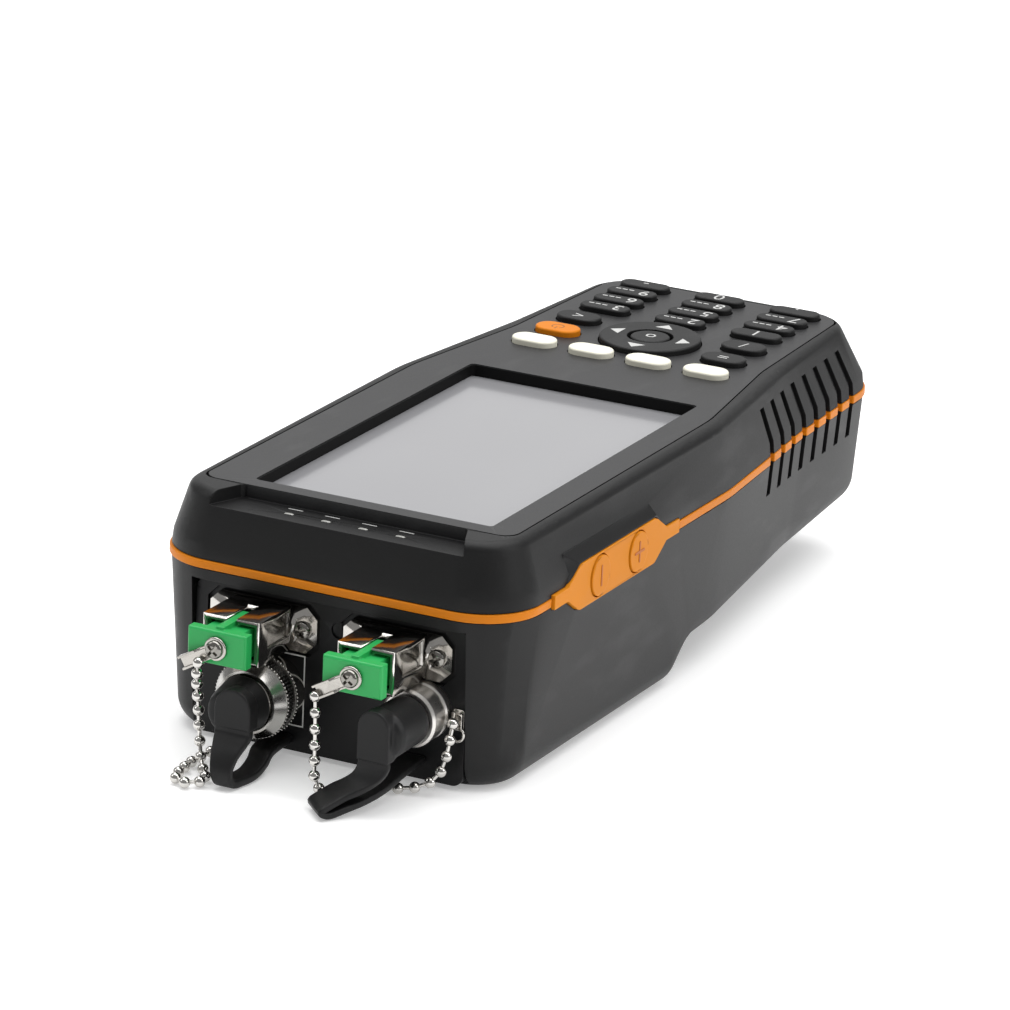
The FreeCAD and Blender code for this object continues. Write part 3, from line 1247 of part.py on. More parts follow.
def make_lamp_windows():
    """Light guides in the ledge."""
    clear = SLEEVE_CLEAR
    length = LAMP_LENGTH - 2 * clear
    width = LAMP_WIDTH - 2 * clear
    low = LEDGE_Z - LAMP_DEPTH
    return Part.makeCompound([rounded_slot(length, width, low, LEDGE_Z, c) for c in lamp_places()])


def make_battery():
    """Battery pack on the floor of the head."""
    middle = BATTERY_NEAR_Y + BATTERY_LENGTH / 2
    low = WALL + SEAT_GAP
    high = low + BATTERY_HEIGHT
    return rounded_block(BATTERY_WIDTH, BATTERY_LENGTH, BATTERY_ROUND, low, high, (0.0, middle))


def make_splitter():
    """Wavelength splitter module behind the adapters."""
    low = WALL + SEAT_GAP
    middle = SPLITTER_NEAR_Y + SPLITTER_LENGTH / 2
    high = low + SPLITTER_HEIGHT
    return rounded_block(SPLITTER_WIDTH, SPLITTER_LENGTH, BATTERY_ROUND / 2, low, high, (0.0, middle))


def socket_z():
    """Height of the charging socket's middle: it stands on the main board."""
    return BOARD_LOW - SOCKET_HEIGHT / 2


def make_charge_socket():
    """Charging socket under the main board, with its mouth in the keypad end."""
    far_y = LENGTH - BASE_INSET * (BAND_LOW - socket_z()) / BAND_LOW
    shell = block(0.0, socket_z(), SOCKET_WIDTH, SOCKET_HEIGHT, far_y - SOCKET_LENGTH, far_y)
    mouth = block(0.0, socket_z(), SOCKET_WIDTH - 2 * SOCKET_WALL, SOCKET_HEIGHT - 2 * SOCKET_WALL,
                  far_y - SOCKET_LENGTH + SOCKET_WALL, far_y + OVERCUT)
    return shell.cut(mouth)


def make_pieces():
    """All nodes by name."""
    pieces = {
        "upper_shell": make_upper_shell(),
        "lower_shell": make_lower_shell(),
        "seam_band": make_seam_band(),
        "side_pad": make_side_pad(),
        "face_plate": make_face_plate(),
        "display_lens": screen_block(LENS_MARGIN, PLATE_LOW - LENS_THICK, PLATE_LOW),
        "display_module": make_display_module(),
        "main_board": make_main_board(),
        "keypad_board": make_keypad_board(),
        "dome_switches": make_dome_switches(),
        "battery_pack": make_battery(),
        "case_screws": make_case_screws(),
        "connector_panel": make_panel(),
        "sc_adapter_left": make_adapter(-ADAPTER_X),
        "sc_adapter_right": make_adapter(ADAPTER_X),
        "alignment_sleeves": make_sleeves(),
        "adapter_screws": make_adapter_screws(),
        "chain_anchors": make_anchors(),
        "opm_port": make_opm_port(),
        "opm_detector": rod(DETECTOR_RADIUS, PANEL_BACK_Y + PORT_NUT_THICK,
                            PANEL_BACK_Y + PORT_NUT_THICK + DETECTOR_LENGTH, OPM_X, OPM_Z),
        "vfl_port": make_vfl_port(),
        "vfl_laser": rod(LASER_RADIUS, PANEL_BACK_Y + PORT_NUT_THICK,
                         PANEL_BACK_Y + PORT_NUT_THICK + LASER_LENGTH, VFL_X, VFL_Z),
        "splitter_module": make_splitter(),
        "lamp_windows": make_lamp_windows(),
        "charge_socket": make_charge_socket(),
        "chain_left": make_chain("chain_left", CHAIN_LEFT),
        "chain_right": make_chain("chain_right", CHAIN_RIGHT),
        "opm_strap": make_opm_strap(),
        "vfl_strap": make_vfl_strap(),
        "opm_ring": make_ring(),
        "opm_cap": make_opm_cap(),
        "vfl_cap": make_vfl_cap(),
        "dust_plug_left": make_plug(-ADAPTER_X),
        "plug_tab_left": make_tab(-ADAPTER_X),
        "dust_plug_right": make_plug(ADAPTER_X),
        "plug_tab_right": make_tab(ADAPTER_X),
        "minus_key": make_side_key(MINUS_KEY_Y),
        "plus_key": make_side_key(PLUS_KEY_Y),
    }
    pieces.update(make_keys())
    return pieces


os.makedirs("parts", exist_ok=True)
for node, shape in make_pieces().items():
    moved = shape.copy()
    moved.translate(V(0, -REST_Y, 0))
    moved.exportStep(os.path.join("parts", node + ".step"))
    print(node, "valid", moved.isValid(), "solids", len(moved.Solids), "volume", round(moved.Volume, 1))
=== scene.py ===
"""Dress a handheld optical power meter: casing, display, keypad, optical ports, straps and ball chains.

Sizes are in millimetres, measured from the connector end of the casing, as the part's source has them.
They become metres in the part's own frame only where a mesh is written.
"""
from __future__ import annotations

import json
import logging
import math
from dataclasses import dataclass
from enum import Enum
from functools import partial
from typing import Any, Callable, Sequence

import bmesh
import bpy
from mathutils import Matrix, Vector

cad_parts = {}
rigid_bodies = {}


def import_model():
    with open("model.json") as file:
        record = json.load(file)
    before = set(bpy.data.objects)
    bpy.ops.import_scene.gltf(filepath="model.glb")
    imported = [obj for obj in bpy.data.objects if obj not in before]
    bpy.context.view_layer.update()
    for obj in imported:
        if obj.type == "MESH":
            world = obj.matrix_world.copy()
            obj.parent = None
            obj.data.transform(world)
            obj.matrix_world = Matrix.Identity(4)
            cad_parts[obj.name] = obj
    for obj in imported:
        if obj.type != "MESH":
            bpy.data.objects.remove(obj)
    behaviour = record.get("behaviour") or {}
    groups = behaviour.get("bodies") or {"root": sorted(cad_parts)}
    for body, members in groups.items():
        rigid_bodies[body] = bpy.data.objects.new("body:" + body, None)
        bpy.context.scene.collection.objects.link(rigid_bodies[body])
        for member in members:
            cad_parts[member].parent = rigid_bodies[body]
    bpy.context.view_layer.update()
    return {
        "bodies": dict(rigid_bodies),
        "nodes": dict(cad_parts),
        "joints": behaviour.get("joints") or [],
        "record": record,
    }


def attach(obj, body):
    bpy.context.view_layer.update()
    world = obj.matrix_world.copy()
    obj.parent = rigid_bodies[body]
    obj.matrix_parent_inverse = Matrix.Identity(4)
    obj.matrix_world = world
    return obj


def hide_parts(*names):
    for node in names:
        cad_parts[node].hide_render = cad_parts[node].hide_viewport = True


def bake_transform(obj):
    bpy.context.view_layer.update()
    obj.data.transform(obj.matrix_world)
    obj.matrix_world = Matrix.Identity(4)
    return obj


LOG = logging.getLogger("power_meter")

Frame = dict[str, Any]
Flat = tuple[float, float]
Point = tuple[float, float, float]
Colour = tuple[float, float, float]
Station = tuple[float, float, float, float, float]
BMesh = bmesh.types.BMesh
Piece = bpy.types.Object
Material = bpy.types.Material
Socket = bpy.types.NodeSocket
Place = Callable[[float, float, float], Vector]
Zone = Callable[[Vector], bool]

MM = 0.001
FULL_TURN = 2 * math.pi
REST_Y = 46.2
TOP_Z = 52.4
PANEL_Y = 2.4
ADAPTER_X = {"left": -15.3, "right": 15.3}
ADAPTER_Z = 27.4

# Angles in degrees between two faces above which their edge is sharp, is broken with a round,
# and stays sharp after that
SHARP = 32.0
BROKEN = 38.0
SETTLED = 40.0
# Least sideways share of a wall's normal, and the gaps in metres that are closed in copied and in new meshes
WALL = 0.8
WELD = 2e-6
DOUBLE = 1e-7
# A width over this is the corner radius of an outline with round ends
PILL = 2.02
# Level of the underside of printed ink
INK_LOW = -0.01
# Noise detail, from a slow change of tone to fine wear
SLOW, DRAWN, FINE, RICH = 1.0, 2.0, 3.0, 4.0
MEAN = 0.5


def at(x: float, y: float, z: float) -> Vector:
    """Point of the part's frame, in metres, from millimetres measured from the connector end."""
    return Vector((x * MM, (y - REST_Y) * MM, z * MM))


def local(u: float, v: float, w: float) -> Vector:
    """Point of a shape that is copied to its places, in metres from millimetres."""
    return Vector((u, v, w)) * MM


class Slot(Enum):
    """The record's material slots."""

    CASING = "casing"
    FACE = "face"
    ORANGE = "orange"
    CONTACT = "contact"
    NICKEL = "nickel"
    LAMP = "lamp"
    PLUG = "plug"
    CAP = "cap"
    SOFT_KEY = "soft_key"
    BLACK_KEY = "black_key"


# Node trees


class Channel:
    """A shader socket that takes part in arithmetic."""

    def __init__(self, graph: Graph, socket: Socket) -> None:
        """Keep the socket and the graph that new nodes go into."""
        self.graph = graph
        self.socket = socket

    def _join(self, operation: str, first: Any, second: Any) -> Channel:
        """Math node of an operation on two numbers or channels."""
        node = self.graph.node("ShaderNodeMath", {"operation": operation}, {0: first, 1: second})
        return Channel(self.graph, node.outputs[0])

    def __add__(self, other: Any) -> Channel:
        """Sum."""
        return self._join("ADD", self, other)

    def __radd__(self, other: Any) -> Channel:
        """Sum, with the number first."""
        return self._join("ADD", other, self)

    def __sub__(self, other: Any) -> Channel:
        """Difference."""
        return self._join("SUBTRACT", self, other)

    def __rsub__(self, other: Any) -> Channel:
        """Difference, with the number first."""
        return self._join("SUBTRACT", other, self)

    def __mul__(self, other: Any) -> Channel:
        """Product."""
        return self._join("MULTIPLY", self, other)

    def __rmul__(self, other: Any) -> Channel:
        """Product, with the number first."""
        return self._join("MULTIPLY", other, self)

    def smooth(self, low: float, high: float) -> Channel:
        """Smooth step.

        Args:
            low: value that gives 0.
            high: value that gives 1.

        Returns:
            The step.
        """
        values = {"Value": self, "From Min": low, "From Max": high}
        node = self.graph.node("ShaderNodeMapRange", {"interpolation_type": "SMOOTHSTEP"}, values)
        return Channel(self.graph, node.outputs["Result"])


class Nodes:
    """A node tree that calls fill."""

    def __init__(self, tree: bpy.types.NodeTree) -> None:
        """Keep the tree."""
        self.tree = tree

    def node(self, kind: str, settings: dict[str, Any] | None = None,
             inputs: dict[Any, Any] | None = None) -> bpy.types.Node:
        """Add a node.

        Args:
            kind: the node's type.
            settings: properties, set first.
            inputs: values, sockets or channels by socket name or number.

        Returns:
            The node.
        """
        node = self.tree.nodes.new(kind)
        for key, value in (settings or {}).items():
            setattr(node, key, value)
        for key, value in (inputs or {}).items():
            self.feed(node.inputs[key], value)
        return node

    def feed(self, socket: Socket, value: Any) -> None:
        """Link a channel or a socket to a socket, or set the socket's value.

        Args:
            socket: the input.
            value: what it takes.
        """
        source = value.socket if isinstance(value, Channel) else value
        if isinstance(source, Socket):
            self.tree.links.new(source, socket)
        else:
            socket.default_value = source


class Graph(Nodes):
    """A material's node tree with one principled shader."""

    def __init__(self, name: str) -> None:
        """Start an empty material.

        Args:
            name: the material's name.
        """
        self.material = bpy.data.materials.new(name)
        self.material.use_nodes = True
        super().__init__(self.material.node_tree)
        self.tree.nodes.clear()
        output = self.node("ShaderNodeOutputMaterial")
        self.shader = self.node("ShaderNodeBsdfPrincipled")
        self.feed(output.inputs[0], self.shader.outputs[0])

    def _texture(self, kind: str, size_mm: float, values: dict[str, Any],
                 stretch: Point | None) -> bpy.types.Node:
        """Add a texture on Object coordinates.

        Args:
            kind: the node's type.
            size_mm: size of its features.
            values: its other inputs.
            stretch: scale of the coordinates along the axes, if they have one.

        Returns:
            The texture's node.
        """
        place = self.node("ShaderNodeTexCoord").outputs["Object"]
        if stretch:
            place = self.node("ShaderNodeMapping", None, {"Vector": place, "Scale": stretch}).outputs[0]
        return self.node(kind, None, {"Vector": place, "Scale": 1.0 / (size_mm * MM), **values})

    def noise(self, size_mm: float, detail: float, stretch: Point | None = None) -> Channel:
        """Noise with features of about a size in millimetres, from 0 to 1."""
        node = self._texture("ShaderNodeTexNoise", size_mm, {"Detail": detail}, stretch)
        return Channel(self, node.outputs[0])

    def cells(self, size_mm: float) -> Channel:
        """Distance to the nearest of scattered points, in units of the cell."""
        return Channel(self, self._texture("ShaderNodeTexVoronoi", size_mm, {}, None).outputs["Distance"])

    def mix(self, factor: Channel, first: Colour, second: Colour) -> Channel:
        """Mix of two colours."""
        values = {0: factor, 6: (*first, 1.0), 7: (*second, 1.0)}
        return Channel(self, self.node("ShaderNodeMix", {"data_type": "RGBA"}, values).outputs[2])

    def bump(self, height: Channel, depth_mm: float) -> Channel:
        """Normal of a surface with that height map."""
        values = {"Height": height, "Distance": depth_mm * MM, "Strength": 1.0}
        return Channel(self, self.node("ShaderNodeBump", None, values).outputs[0])

    def dress(self, **sockets: Any) -> Material:
        """Set the shader's sockets.

        Args:
            **sockets: values or channels by name, with _ for a space.

        Returns:
            The material.
        """
        for key, value in sockets.items():
            self.feed(self.shader.inputs[key.replace("_", " ")], value)
        return self.material


class Tree(Nodes):
    """A geometry node tree with named inputs."""

    def __init__(self, name: str) -> None:
        """Start an empty tree.

        Args:
            name: the tree's name.
        """
        super().__init__(bpy.data.node_groups.new(name, "GeometryNodeTree"))
        for way in ("INPUT", "OUTPUT"):
            self.tree.interface.new_socket(name="Geometry", in_out=way, socket_type="NodeSocketGeometry")
        self.source = self.node("NodeGroupInput")
        self.sink = self.node("NodeGroupOutput")
        self.identifiers: dict[str, str] = {}

    def given(self, name: str, kind: str) -> Socket:
        """Add a named input.

        Args:
            name: its name.
            kind: its socket type, after NodeSocket.

        Returns:
            Its socket inside the tree.
        """
        socket = self.tree.interface.new_socket(name=name, in_out="INPUT", socket_type="NodeSocket" + kind)
        self.identifiers[name] = socket.identifier
        return self.source.outputs[name]

    def add(self, kind: str, inputs: dict[Any, Any], **settings: Any) -> Socket:
        """Add a node and return its first output."""
        return self.node(kind, settings, inputs).outputs[0]

    def close(self, geometry: Socket) -> None:
        """End in realized instances with smooth shading and the material input.

        Args:
            geometry: what the tree has made.
        """
        real = self.add("GeometryNodeRealizeInstances", {0: geometry})
        even = self.add("GeometryNodeSetShadeSmooth", {"Geometry": real})
        material = self.given("Material", "Material")
        dressed = self.add("GeometryNodeSetMaterial", {"Geometry": even, "Material": material})
        self.feed(self.sink.inputs[0], dressed)

    def grow(self, host: Piece, name: str, finish: Finish, **values: Any) -> Piece:
        """Run the tree on a host and keep the result as a plain mesh.

        Args:
            host: object that carries the tree; it is removed.
            name: the piece's name.
            finish: what the piece is made of.
            **values: the tree's inputs, with _ for a space.

        Returns:
            The piece.
        """
        modifier = host.modifiers.new("grow", "NODES")
        modifier.node_group = self.tree
        modifier[self.identifiers["Material"]] = finish.material()
        for key, value in values.items():
            modifier[self.identifiers[key.replace("_", " ")]] = value
        mesh = evaluated(host)
        mesh.name = name
        host.modifiers.remove(modifier)
        bpy.data.objects.remove(host)
        return linked(name, mesh, finish)


def bead_tree() -> Tree:
    """Beads at an even pitch along a curve, on a thin wire.

    Returns:
        The tree, with the inputs Pitch, Bead Radius and Wire Radius.
    """
    tree = Tree("bead_chain")
    pitch = tree.given("Pitch", "Float")
    radius = tree.given("Bead Radius", "Float")
    wire = tree.given("Wire Radius", "Float")
    route = tree.source.outputs["Geometry"]
    line = tree.add("GeometryNodeResampleCurve", {"Curve": route, "Length": pitch}, mode="LENGTH")
    ball = tree.add("GeometryNodeMeshUVSphere", {"Segments": 20, "Rings": 12, "Radius": radius})
    beads = tree.add("GeometryNodeInstanceOnPoints", {"Points": line, "Instance": ball})
    ring = tree.add("GeometryNodeCurvePrimitiveCircle", {"Resolution": 8, "Radius": wire})
    links = tree.add("GeometryNodeCurveToMesh", {"Curve": line, "Profile Curve": ring})
    both = tree.node("GeometryNodeJoinGeometry")
    for part in (beads, links):
        tree.feed(both.inputs[0], part)
    tree.close(both.outputs[0])
    return tree


def scatter_tree() -> Tree:
    """A template object at every point of the host mesh.

    Returns:
        The tree, with the input Template.
    """
    tree = Tree("place_copies")
    template = tree.given("Template", "Object")
    shape = tree.node("GeometryNodeObjectInfo", {"transform_space": "ORIGINAL"}, {"Object": template})
    points = tree.add("GeometryNodeMeshToPoints", {"Mesh": tree.source.outputs["Geometry"]})
    inputs = {"Points": points, "Instance": shape.outputs["Geometry"]}
    tree.close(tree.add("GeometryNodeInstanceOnPoints", inputs))
    return tree


def knurl_tree() -> Tree:
    """Teeth round a circle about Y, each a slim wedge that stands out of the ring.

    Returns:
        The tree, with the inputs Count, Radius, Length, Tooth and Middle.
    """
    tree = Tree("knurl")
    count = tree.given("Count", "Int")
    radius = tree.given("Radius", "Float")
    length = tree.given("Length", "Float")
    tooth = tree.given("Tooth", "Float")
    circle = tree.add("GeometryNodeMeshCircle", {"Vertices": count, "Radius": radius})
    size = tree.add("ShaderNodeCombineXYZ", {0: 1.0, 1: length, 2: 1.0})
    cone = tree.add("GeometryNodeMeshCone", {
        "Vertices": 4, "Radius Top": 0.0, "Radius Bottom": tooth, "Depth": tooth})
    wedge = tree.add("GeometryNodeTransform", {"Geometry": cone, "Scale": size})
    align = "FunctionNodeAlignRotationToVector"
    lean = tree.add(align, {"Vector": tree.add("GeometryNodeInputPosition", {})}, axis="Z")
    turn = tree.add(align, {"Rotation": lean, "Vector": (0.0, 0.0, 1.0)}, axis="Y", pivot_axis="Z")
    teeth = tree.add("GeometryNodeInstanceOnPoints", {"Points": circle, "Instance": wedge, "Rotation": turn})
    middle = tree.given("Middle", "Vector")
    upright = (math.radians(90), 0.0, 0.0)
    inputs = {"Geometry": teeth, "Translation": middle, "Rotation": upright}
    tree.close(tree.add("GeometryNodeTransform", inputs))
    return tree


# Finishes


def toned(colour: Colour, share: float) -> Colour:
    """Colour at a share of its brightness."""
    return tuple(c * share for c in colour)


@dataclass(frozen=True)
class Finish:
    """A finish that builds its material once."""

    name: str
    colour: Colour

    def material(self) -> Material:
        """The finish's material, made at its first use."""
        found = bpy.data.materials.get(self.name)
        return found if found is not None else self.build(Graph(self.name))

    def build(self, graph: Graph) -> Material:
        """Fill the graph; each kind of finish has its own."""
        raise NotImplementedError


@dataclass(frozen=True)
class Moulded(Finish):
    """Moulded plastic or rubber with an eroded grain."""

    rough: float = 0.5
    grain_mm: float = 0.35
    grain_depth_mm: float = 0.012
    mottle: float = 0.12
    specular: float = 0.5
    grain_gloss: float = 0.1
    cloud_mm: float = 28.0
    cloud_span: Flat = (0.3, 0.7)
    mark_mm: float = 9.0
    mark_stretch: Point = (1.0, 0.35, 1.0)
    mark_span: Flat = (0.52, 0.72)
    mark_gloss: float = 0.06

    def build(self, graph: Graph) -> Material:
        """Fine grain, slow mottling of the colour and handling marks in the gloss.

        Args:
            graph: the material's empty graph.

        Returns:
            The material.
        """
        grain = graph.noise(self.grain_mm, FINE)
        cloud = graph.noise(self.cloud_mm, FINE).smooth(*self.cloud_span)
        marks = graph.noise(self.mark_mm, RICH, self.mark_stretch).smooth(*self.mark_span)
        dark, light = (toned(self.colour, share) for share in (1.0 - self.mottle, 1.0 + self.mottle))
        colour = graph.mix(cloud, dark, light)
        rough = self.rough + (grain - MEAN) * self.grain_gloss - marks * self.mark_gloss
        normal = graph.bump(grain, self.grain_depth_mm)
        return graph.dress(
            Base_Color=colour, Roughness=rough, Normal=normal, Specular_IOR_Level=self.specular)


@dataclass(frozen=True)
class Metal(Finish):
    """Bright metal with drawing lines along one axis and a little tarnish."""

    rough: float = 0.16
    lines: Point | None = (1.0, 0.05, 1.0)
    line_mm: float = 0.3
    line_depth_mm: float = 0.002
    tarnish: float = 0.2
    line_gloss: float = 0.12
    cloud_mm: float = 3.0
    cloud_span: Flat = (0.45, 0.8)
    cloud_gloss: float = 0.1

    def build(self, graph: Graph) -> Material:
        """Drawn lines in gloss and normal, cloudy tarnish in the colour.

        Args:
            graph: the material's empty graph.

        Returns:
            The material.
        """
        lines = graph.noise(self.line_mm, DRAWN, self.lines)
        cloud = graph.noise(self.cloud_mm, RICH)
        dull = toned(self.colour, 1.0 - self.tarnish)
        colour = graph.mix(cloud.smooth(*self.cloud_span), self.colour, dull)
        rough = self.rough + (lines - MEAN) * self.line_gloss + (cloud - MEAN) * self.cloud_gloss
        normal = graph.bump(lines, self.line_depth_mm)
        return graph.dress(Base_Color=colour, Metallic=1.0, Roughness=rough, Normal=normal)


@dataclass(frozen=True)
class Screen(Finish):
    """Grey display under a clear gloss sheet."""

    edge: Colour = (0.24, 0.24, 0.25)
    rough: float = 0.2
    tone_mm: float = 70.0
    tone_span: Flat = (0.3, 0.7)
    smear_mm: float = 14.0
    smear_stretch: Point = (1.0, 0.4, 1.0)
    smear_span: Flat = (0.5, 0.75)
    smear_gloss: float = 0.03
    coat: float = 0.5
    coat_rough: float = 0.12

    def build(self, graph: Graph) -> Material:
        """Even grey with a slow shift of tone, faint smears in the gloss.

        Args:
            graph: the material's empty graph.

        Returns:
            The material.
        """
        tone = graph.noise(self.tone_mm, SLOW).smooth(*self.tone_span)
        smear = graph.noise(self.smear_mm, RICH, self.smear_stretch).smooth(*self.smear_span)
        colour = graph.mix(tone, self.edge, self.colour)
        rough = self.rough + smear * self.smear_gloss
        return graph.dress(
            Base_Color=colour, Roughness=rough, Coat_Weight=self.coat, Coat_Roughness=self.coat_rough)


@dataclass(frozen=True)
class Mask(Finish):
    """Circuit board with solder mask and copper under it."""

    copper: Colour = (0.09, 0.3, 0.13)
    rough: float = 0.32
    cell_mm: float = 3.2
    cell_span: Flat = (0.34, 0.4)
    gloss: float = 0.08
    depth_mm: float = 0.03

    def build(self, graph: Graph) -> Material:
        """Lighter patches of copper, set off from the mask between them.

        Args:
            graph: the material's empty graph.

        Returns:
            The material.
        """
        gaps = graph.cells(self.cell_mm).smooth(*self.cell_span)
        colour = graph.mix(gaps, self.copper, self.colour)
        normal = graph.bump(gaps, self.depth_mm)
        return graph.dress(Base_Color=colour, Roughness=self.rough + gaps * self.gloss, Normal=normal)


@dataclass(frozen=True)
class Ink(Finish):
    """Printed ink, a little worn."""

    rough: float = 0.6
    wear_mm: float = 0.5
    wear_span: Flat = (0.62, 0.8)
    wear_gloss: float = 0.1
    thin: float = 0.72

    def build(self, graph: Graph) -> Material:
        """Speckle where the ink has thinned.

        Args:
            graph: the material's empty graph.

        Returns:
            The material.
        """
        wear = graph.noise(self.wear_mm, FINE).smooth(*self.wear_span)
        colour = graph.mix(wear, self.colour, toned(self.colour, self.thin))
        return graph.dress(Base_Color=colour, Roughness=self.rough + wear * self.wear_gloss)


# Moulded: name, colour, roughness, size and depth of the grain, mottling, specular level
CASING = Moulded("casing_plastic", (0.0068, 0.0068, 0.007), 0.46, 0.32, 0.014, 0.1, 0.24)
FACE = Moulded("face_plastic", (0.017, 0.017, 0.0178), 0.44, 0.26, 0.010, 0.08, 0.4)
PANEL = Moulded("panel_plastic", (0.0045, 0.0045, 0.005), 0.4, 0.5, 0.01, 0.1, 0.22)
ORANGE = Moulded("orange_plastic", (0.6, 0.18, 0.004), 0.46, 0.3, 0.008, 0.07, 0.16)
PAD = Moulded("orange_rubber", (0.61, 0.205, 0.006), 0.52, 0.25, 0.012, 0.05, 0.14)
BLACK_KEY = Moulded("black_silicone", (0.007, 0.007, 0.0072), 0.52, 0.22, 0.01, 0.1, 0.3)
CREAM_KEY = Moulded("cream_silicone", (0.78, 0.76, 0.64), 0.52, 0.25, 0.012, 0.04)
GREEN = Moulded("green_plastic", (0.02, 0.36, 0.085), 0.36, 0.6, 0.008, 0.06, 0.35)
RUBBER = Moulded("cap_rubber", (0.006, 0.006, 0.0063), 0.5, 0.24, 0.012, 0.12, 0.28)
# Black lining of the display window's wall: painted shade of the window's recess
WINDOW_SHADE = Moulded("gasket_rubber", (0.003, 0.003, 0.003), 0.6, 0.4, 0.006, 0.1, 0.15)
CERAMIC = Moulded("white_ceramic", (0.82, 0.81, 0.78), 0.2, 0.4, 0.002, 0.03)
MODULE = Moulded("module_plastic", (0.06, 0.06, 0.065), 0.4)
WRAP = Moulded("battery_wrap", (0.03, 0.05, 0.2), 0.35, 0.8, 0.01)
LAMP = Moulded("frosted_lamp", (0.36, 0.36, 0.34), 0.35, 0.2, 0.006, 0.05)
# Metal: name, colour, roughness, stretch, size and depth of the drawing lines, tarnish
NICKEL = Metal("bright_nickel", (0.56, 0.54, 0.51), 0.13)
SCREW = Metal("screw_nickel", (0.27, 0.26, 0.24), 0.16)
STEEL = Metal("drawn_steel", (0.45, 0.43, 0.4), 0.26, (0.05, 1.0, 1.0))
# Near-black nickel of the ring's sunk grip: painted shade and painted dark reflection, far darker than the
# metal is
KNURL_SHADE = Metal("knurl_nickel", (0.06, 0.058, 0.055), 0.35, None, 0.3, 0.002)
CONE = Metal("satin_nickel", (0.42, 0.41, 0.39), 0.22, None, 0.25, 0.0008, 0.1)
BARREL = Metal("barrel_nickel", (0.66, 0.64, 0.61), 0.3, None, 0.3, 0.001, 0.1)
BEAD = Metal("bead_nickel", (0.6, 0.585, 0.56), 0.08, None, 0.4, 0.003)
SCREEN = Screen("display_glass", (0.265, 0.265, 0.275))
BOARD = Mask("solder_mask", (0.02, 0.16, 0.05))
WHITE_INK = Ink("white_ink", (0.62, 0.62, 0.6))
GREY_INK = Ink("grey_ink", (0.5, 0.5, 0.49))
DARK_INK = Ink("dark_ink", (0.3, 0.1, 0.012))
SIGN_INK = Ink("sign_ink", (0.4, 0.11, 0.012))

NODE_FINISHES: dict[str, Finish] = {
    "display_lens": SCREEN, "display_module": MODULE, "main_board": BOARD, "keypad_board": BOARD,
    "dome_switches": STEEL, "battery_pack": WRAP, "alignment_sleeves": CERAMIC, "opm_detector": STEEL,
    "vfl_laser": STEEL, "splitter_module": MODULE, "charge_socket": STEEL,
}


# Objects


def placed(name: str, data: bpy.types.ID) -> Piece:
    """Object at the origin that shows a mesh, a curve, a light or a camera.

    Args:
        name: the object's name.
        data: what it shows.

    Returns:
        The object.
    """
    obj = bpy.data.objects.new(name, data)
    bpy.context.scene.collection.objects.link(obj)
    return obj


def linked(name: str, mesh: bpy.types.Mesh, finish: Finish) -> Piece:
    """Object at the origin that shows a mesh in one finish.

    Args:
        name: the piece's name.
        mesh: what it shows.
        finish: what it is made of.

    Returns:
        The piece.
    """
    mesh.materials.clear()
    mesh.materials.append(finish.material())
    return placed(name, mesh)


def finished(name: str, bm: BMesh, finish: Finish) -> Piece:
    """Object at the origin from a mesh in the part's frame.

    Args:
        name: the piece's name.
        bm: the mesh, which is freed.
        finish: what it is made of.

    Returns:
        The piece.
    """
    mesh = bpy.data.meshes.new(name)
    bm.to_mesh(mesh)
    bm.free()
    return linked(name, mesh, finish)


def closed(name: str, bm: BMesh, finish: Finish) -> Piece:
    """Object from closed shapes, with their faces turned outwards."""
    outward(bm)
    return finished(name, bm, finish)


def evaluated(obj: Piece) -> bpy.types.Mesh:
    """New mesh of what an object shows, with its modifiers."""
    graph = bpy.context.evaluated_depsgraph_get()
    return bpy.data.meshes.new_from_object(obj.evaluated_get(graph), depsgraph=graph)


def settled(obj: Piece) -> Piece:
    """Turn an object's modifiers into plain mesh.

    Args:
        obj: the object.

    Returns:
        The same object.
    """
    mesh = evaluated(obj)
    obj.modifiers.clear()
    old = obj.data
    mesh.name = old.name
    obj.data = mesh
    bpy.data.meshes.remove(old)
    return obj


def shade(obj: Piece, angle: float = SHARP) -> Piece:
    """Smooth shading with sharp edges above an angle.

    Args:
        obj: the object.
        angle: in degrees.

    Returns:
        The same object.
    """
    obj.data.shade_smooth()
    obj.data.set_sharp_from_angle(angle=math.radians(angle))
    return obj


def soften(obj: Piece, width_mm: float, segments: int = 2) -> Piece:
    """Break the sharp edges with a small round and settle the shading on the large faces.

    Args:
        obj: the object.
        width_mm: width of the broken edges.
        segments: steps across a broken edge.

    Returns:
        The same object.
    """
    bevel = obj.modifiers.new("edge", "BEVEL")
    bevel.width = width_mm * MM
    bevel.segments = segments
    bevel.limit_method = "ANGLE"
    bevel.angle_limit = math.radians(BROKEN)
    bevel.use_clamp_overlap = False
    shade(settled(obj), SETTLED)
    settle = obj.modifiers.new("settle", "WEIGHTED_NORMAL")
    settle.keep_sharp = True
    return settled(obj)


def carve(obj: Piece, cutter: BMesh) -> Piece:
    """Cut closed shapes out of an object.

    Args:
        obj: the object.
        cutter: the shapes, which are freed.

    Returns:
        The same object.
    """
    outward(cutter)
    mesh = bpy.data.meshes.new("cutter")
    cutter.to_mesh(mesh)
    cutter.free()
    tool = placed("cutter", mesh)
    cut = obj.modifiers.new("cut", "BOOLEAN")
    cut.operation = "DIFFERENCE"
    cut.solver = "EXACT"
    cut.object = tool
    settled(obj)
    bpy.data.objects.remove(tool)
    bpy.data.meshes.remove(mesh)
    return obj


def ride(piece: Piece, body: str = "housing", stands_for: str = "") -> None:
    """Put a piece on a body, and hide the node that it stands for.

    Args:
        piece: the piece.
        body: the body that carries it.
        stands_for: the CAD node, if any.
    """
    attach(piece, body)
    if stands_for:
        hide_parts(stands_for)
    LOG.info("%s on %s: %d faces", piece.name, body, len(piece.data.polygons))


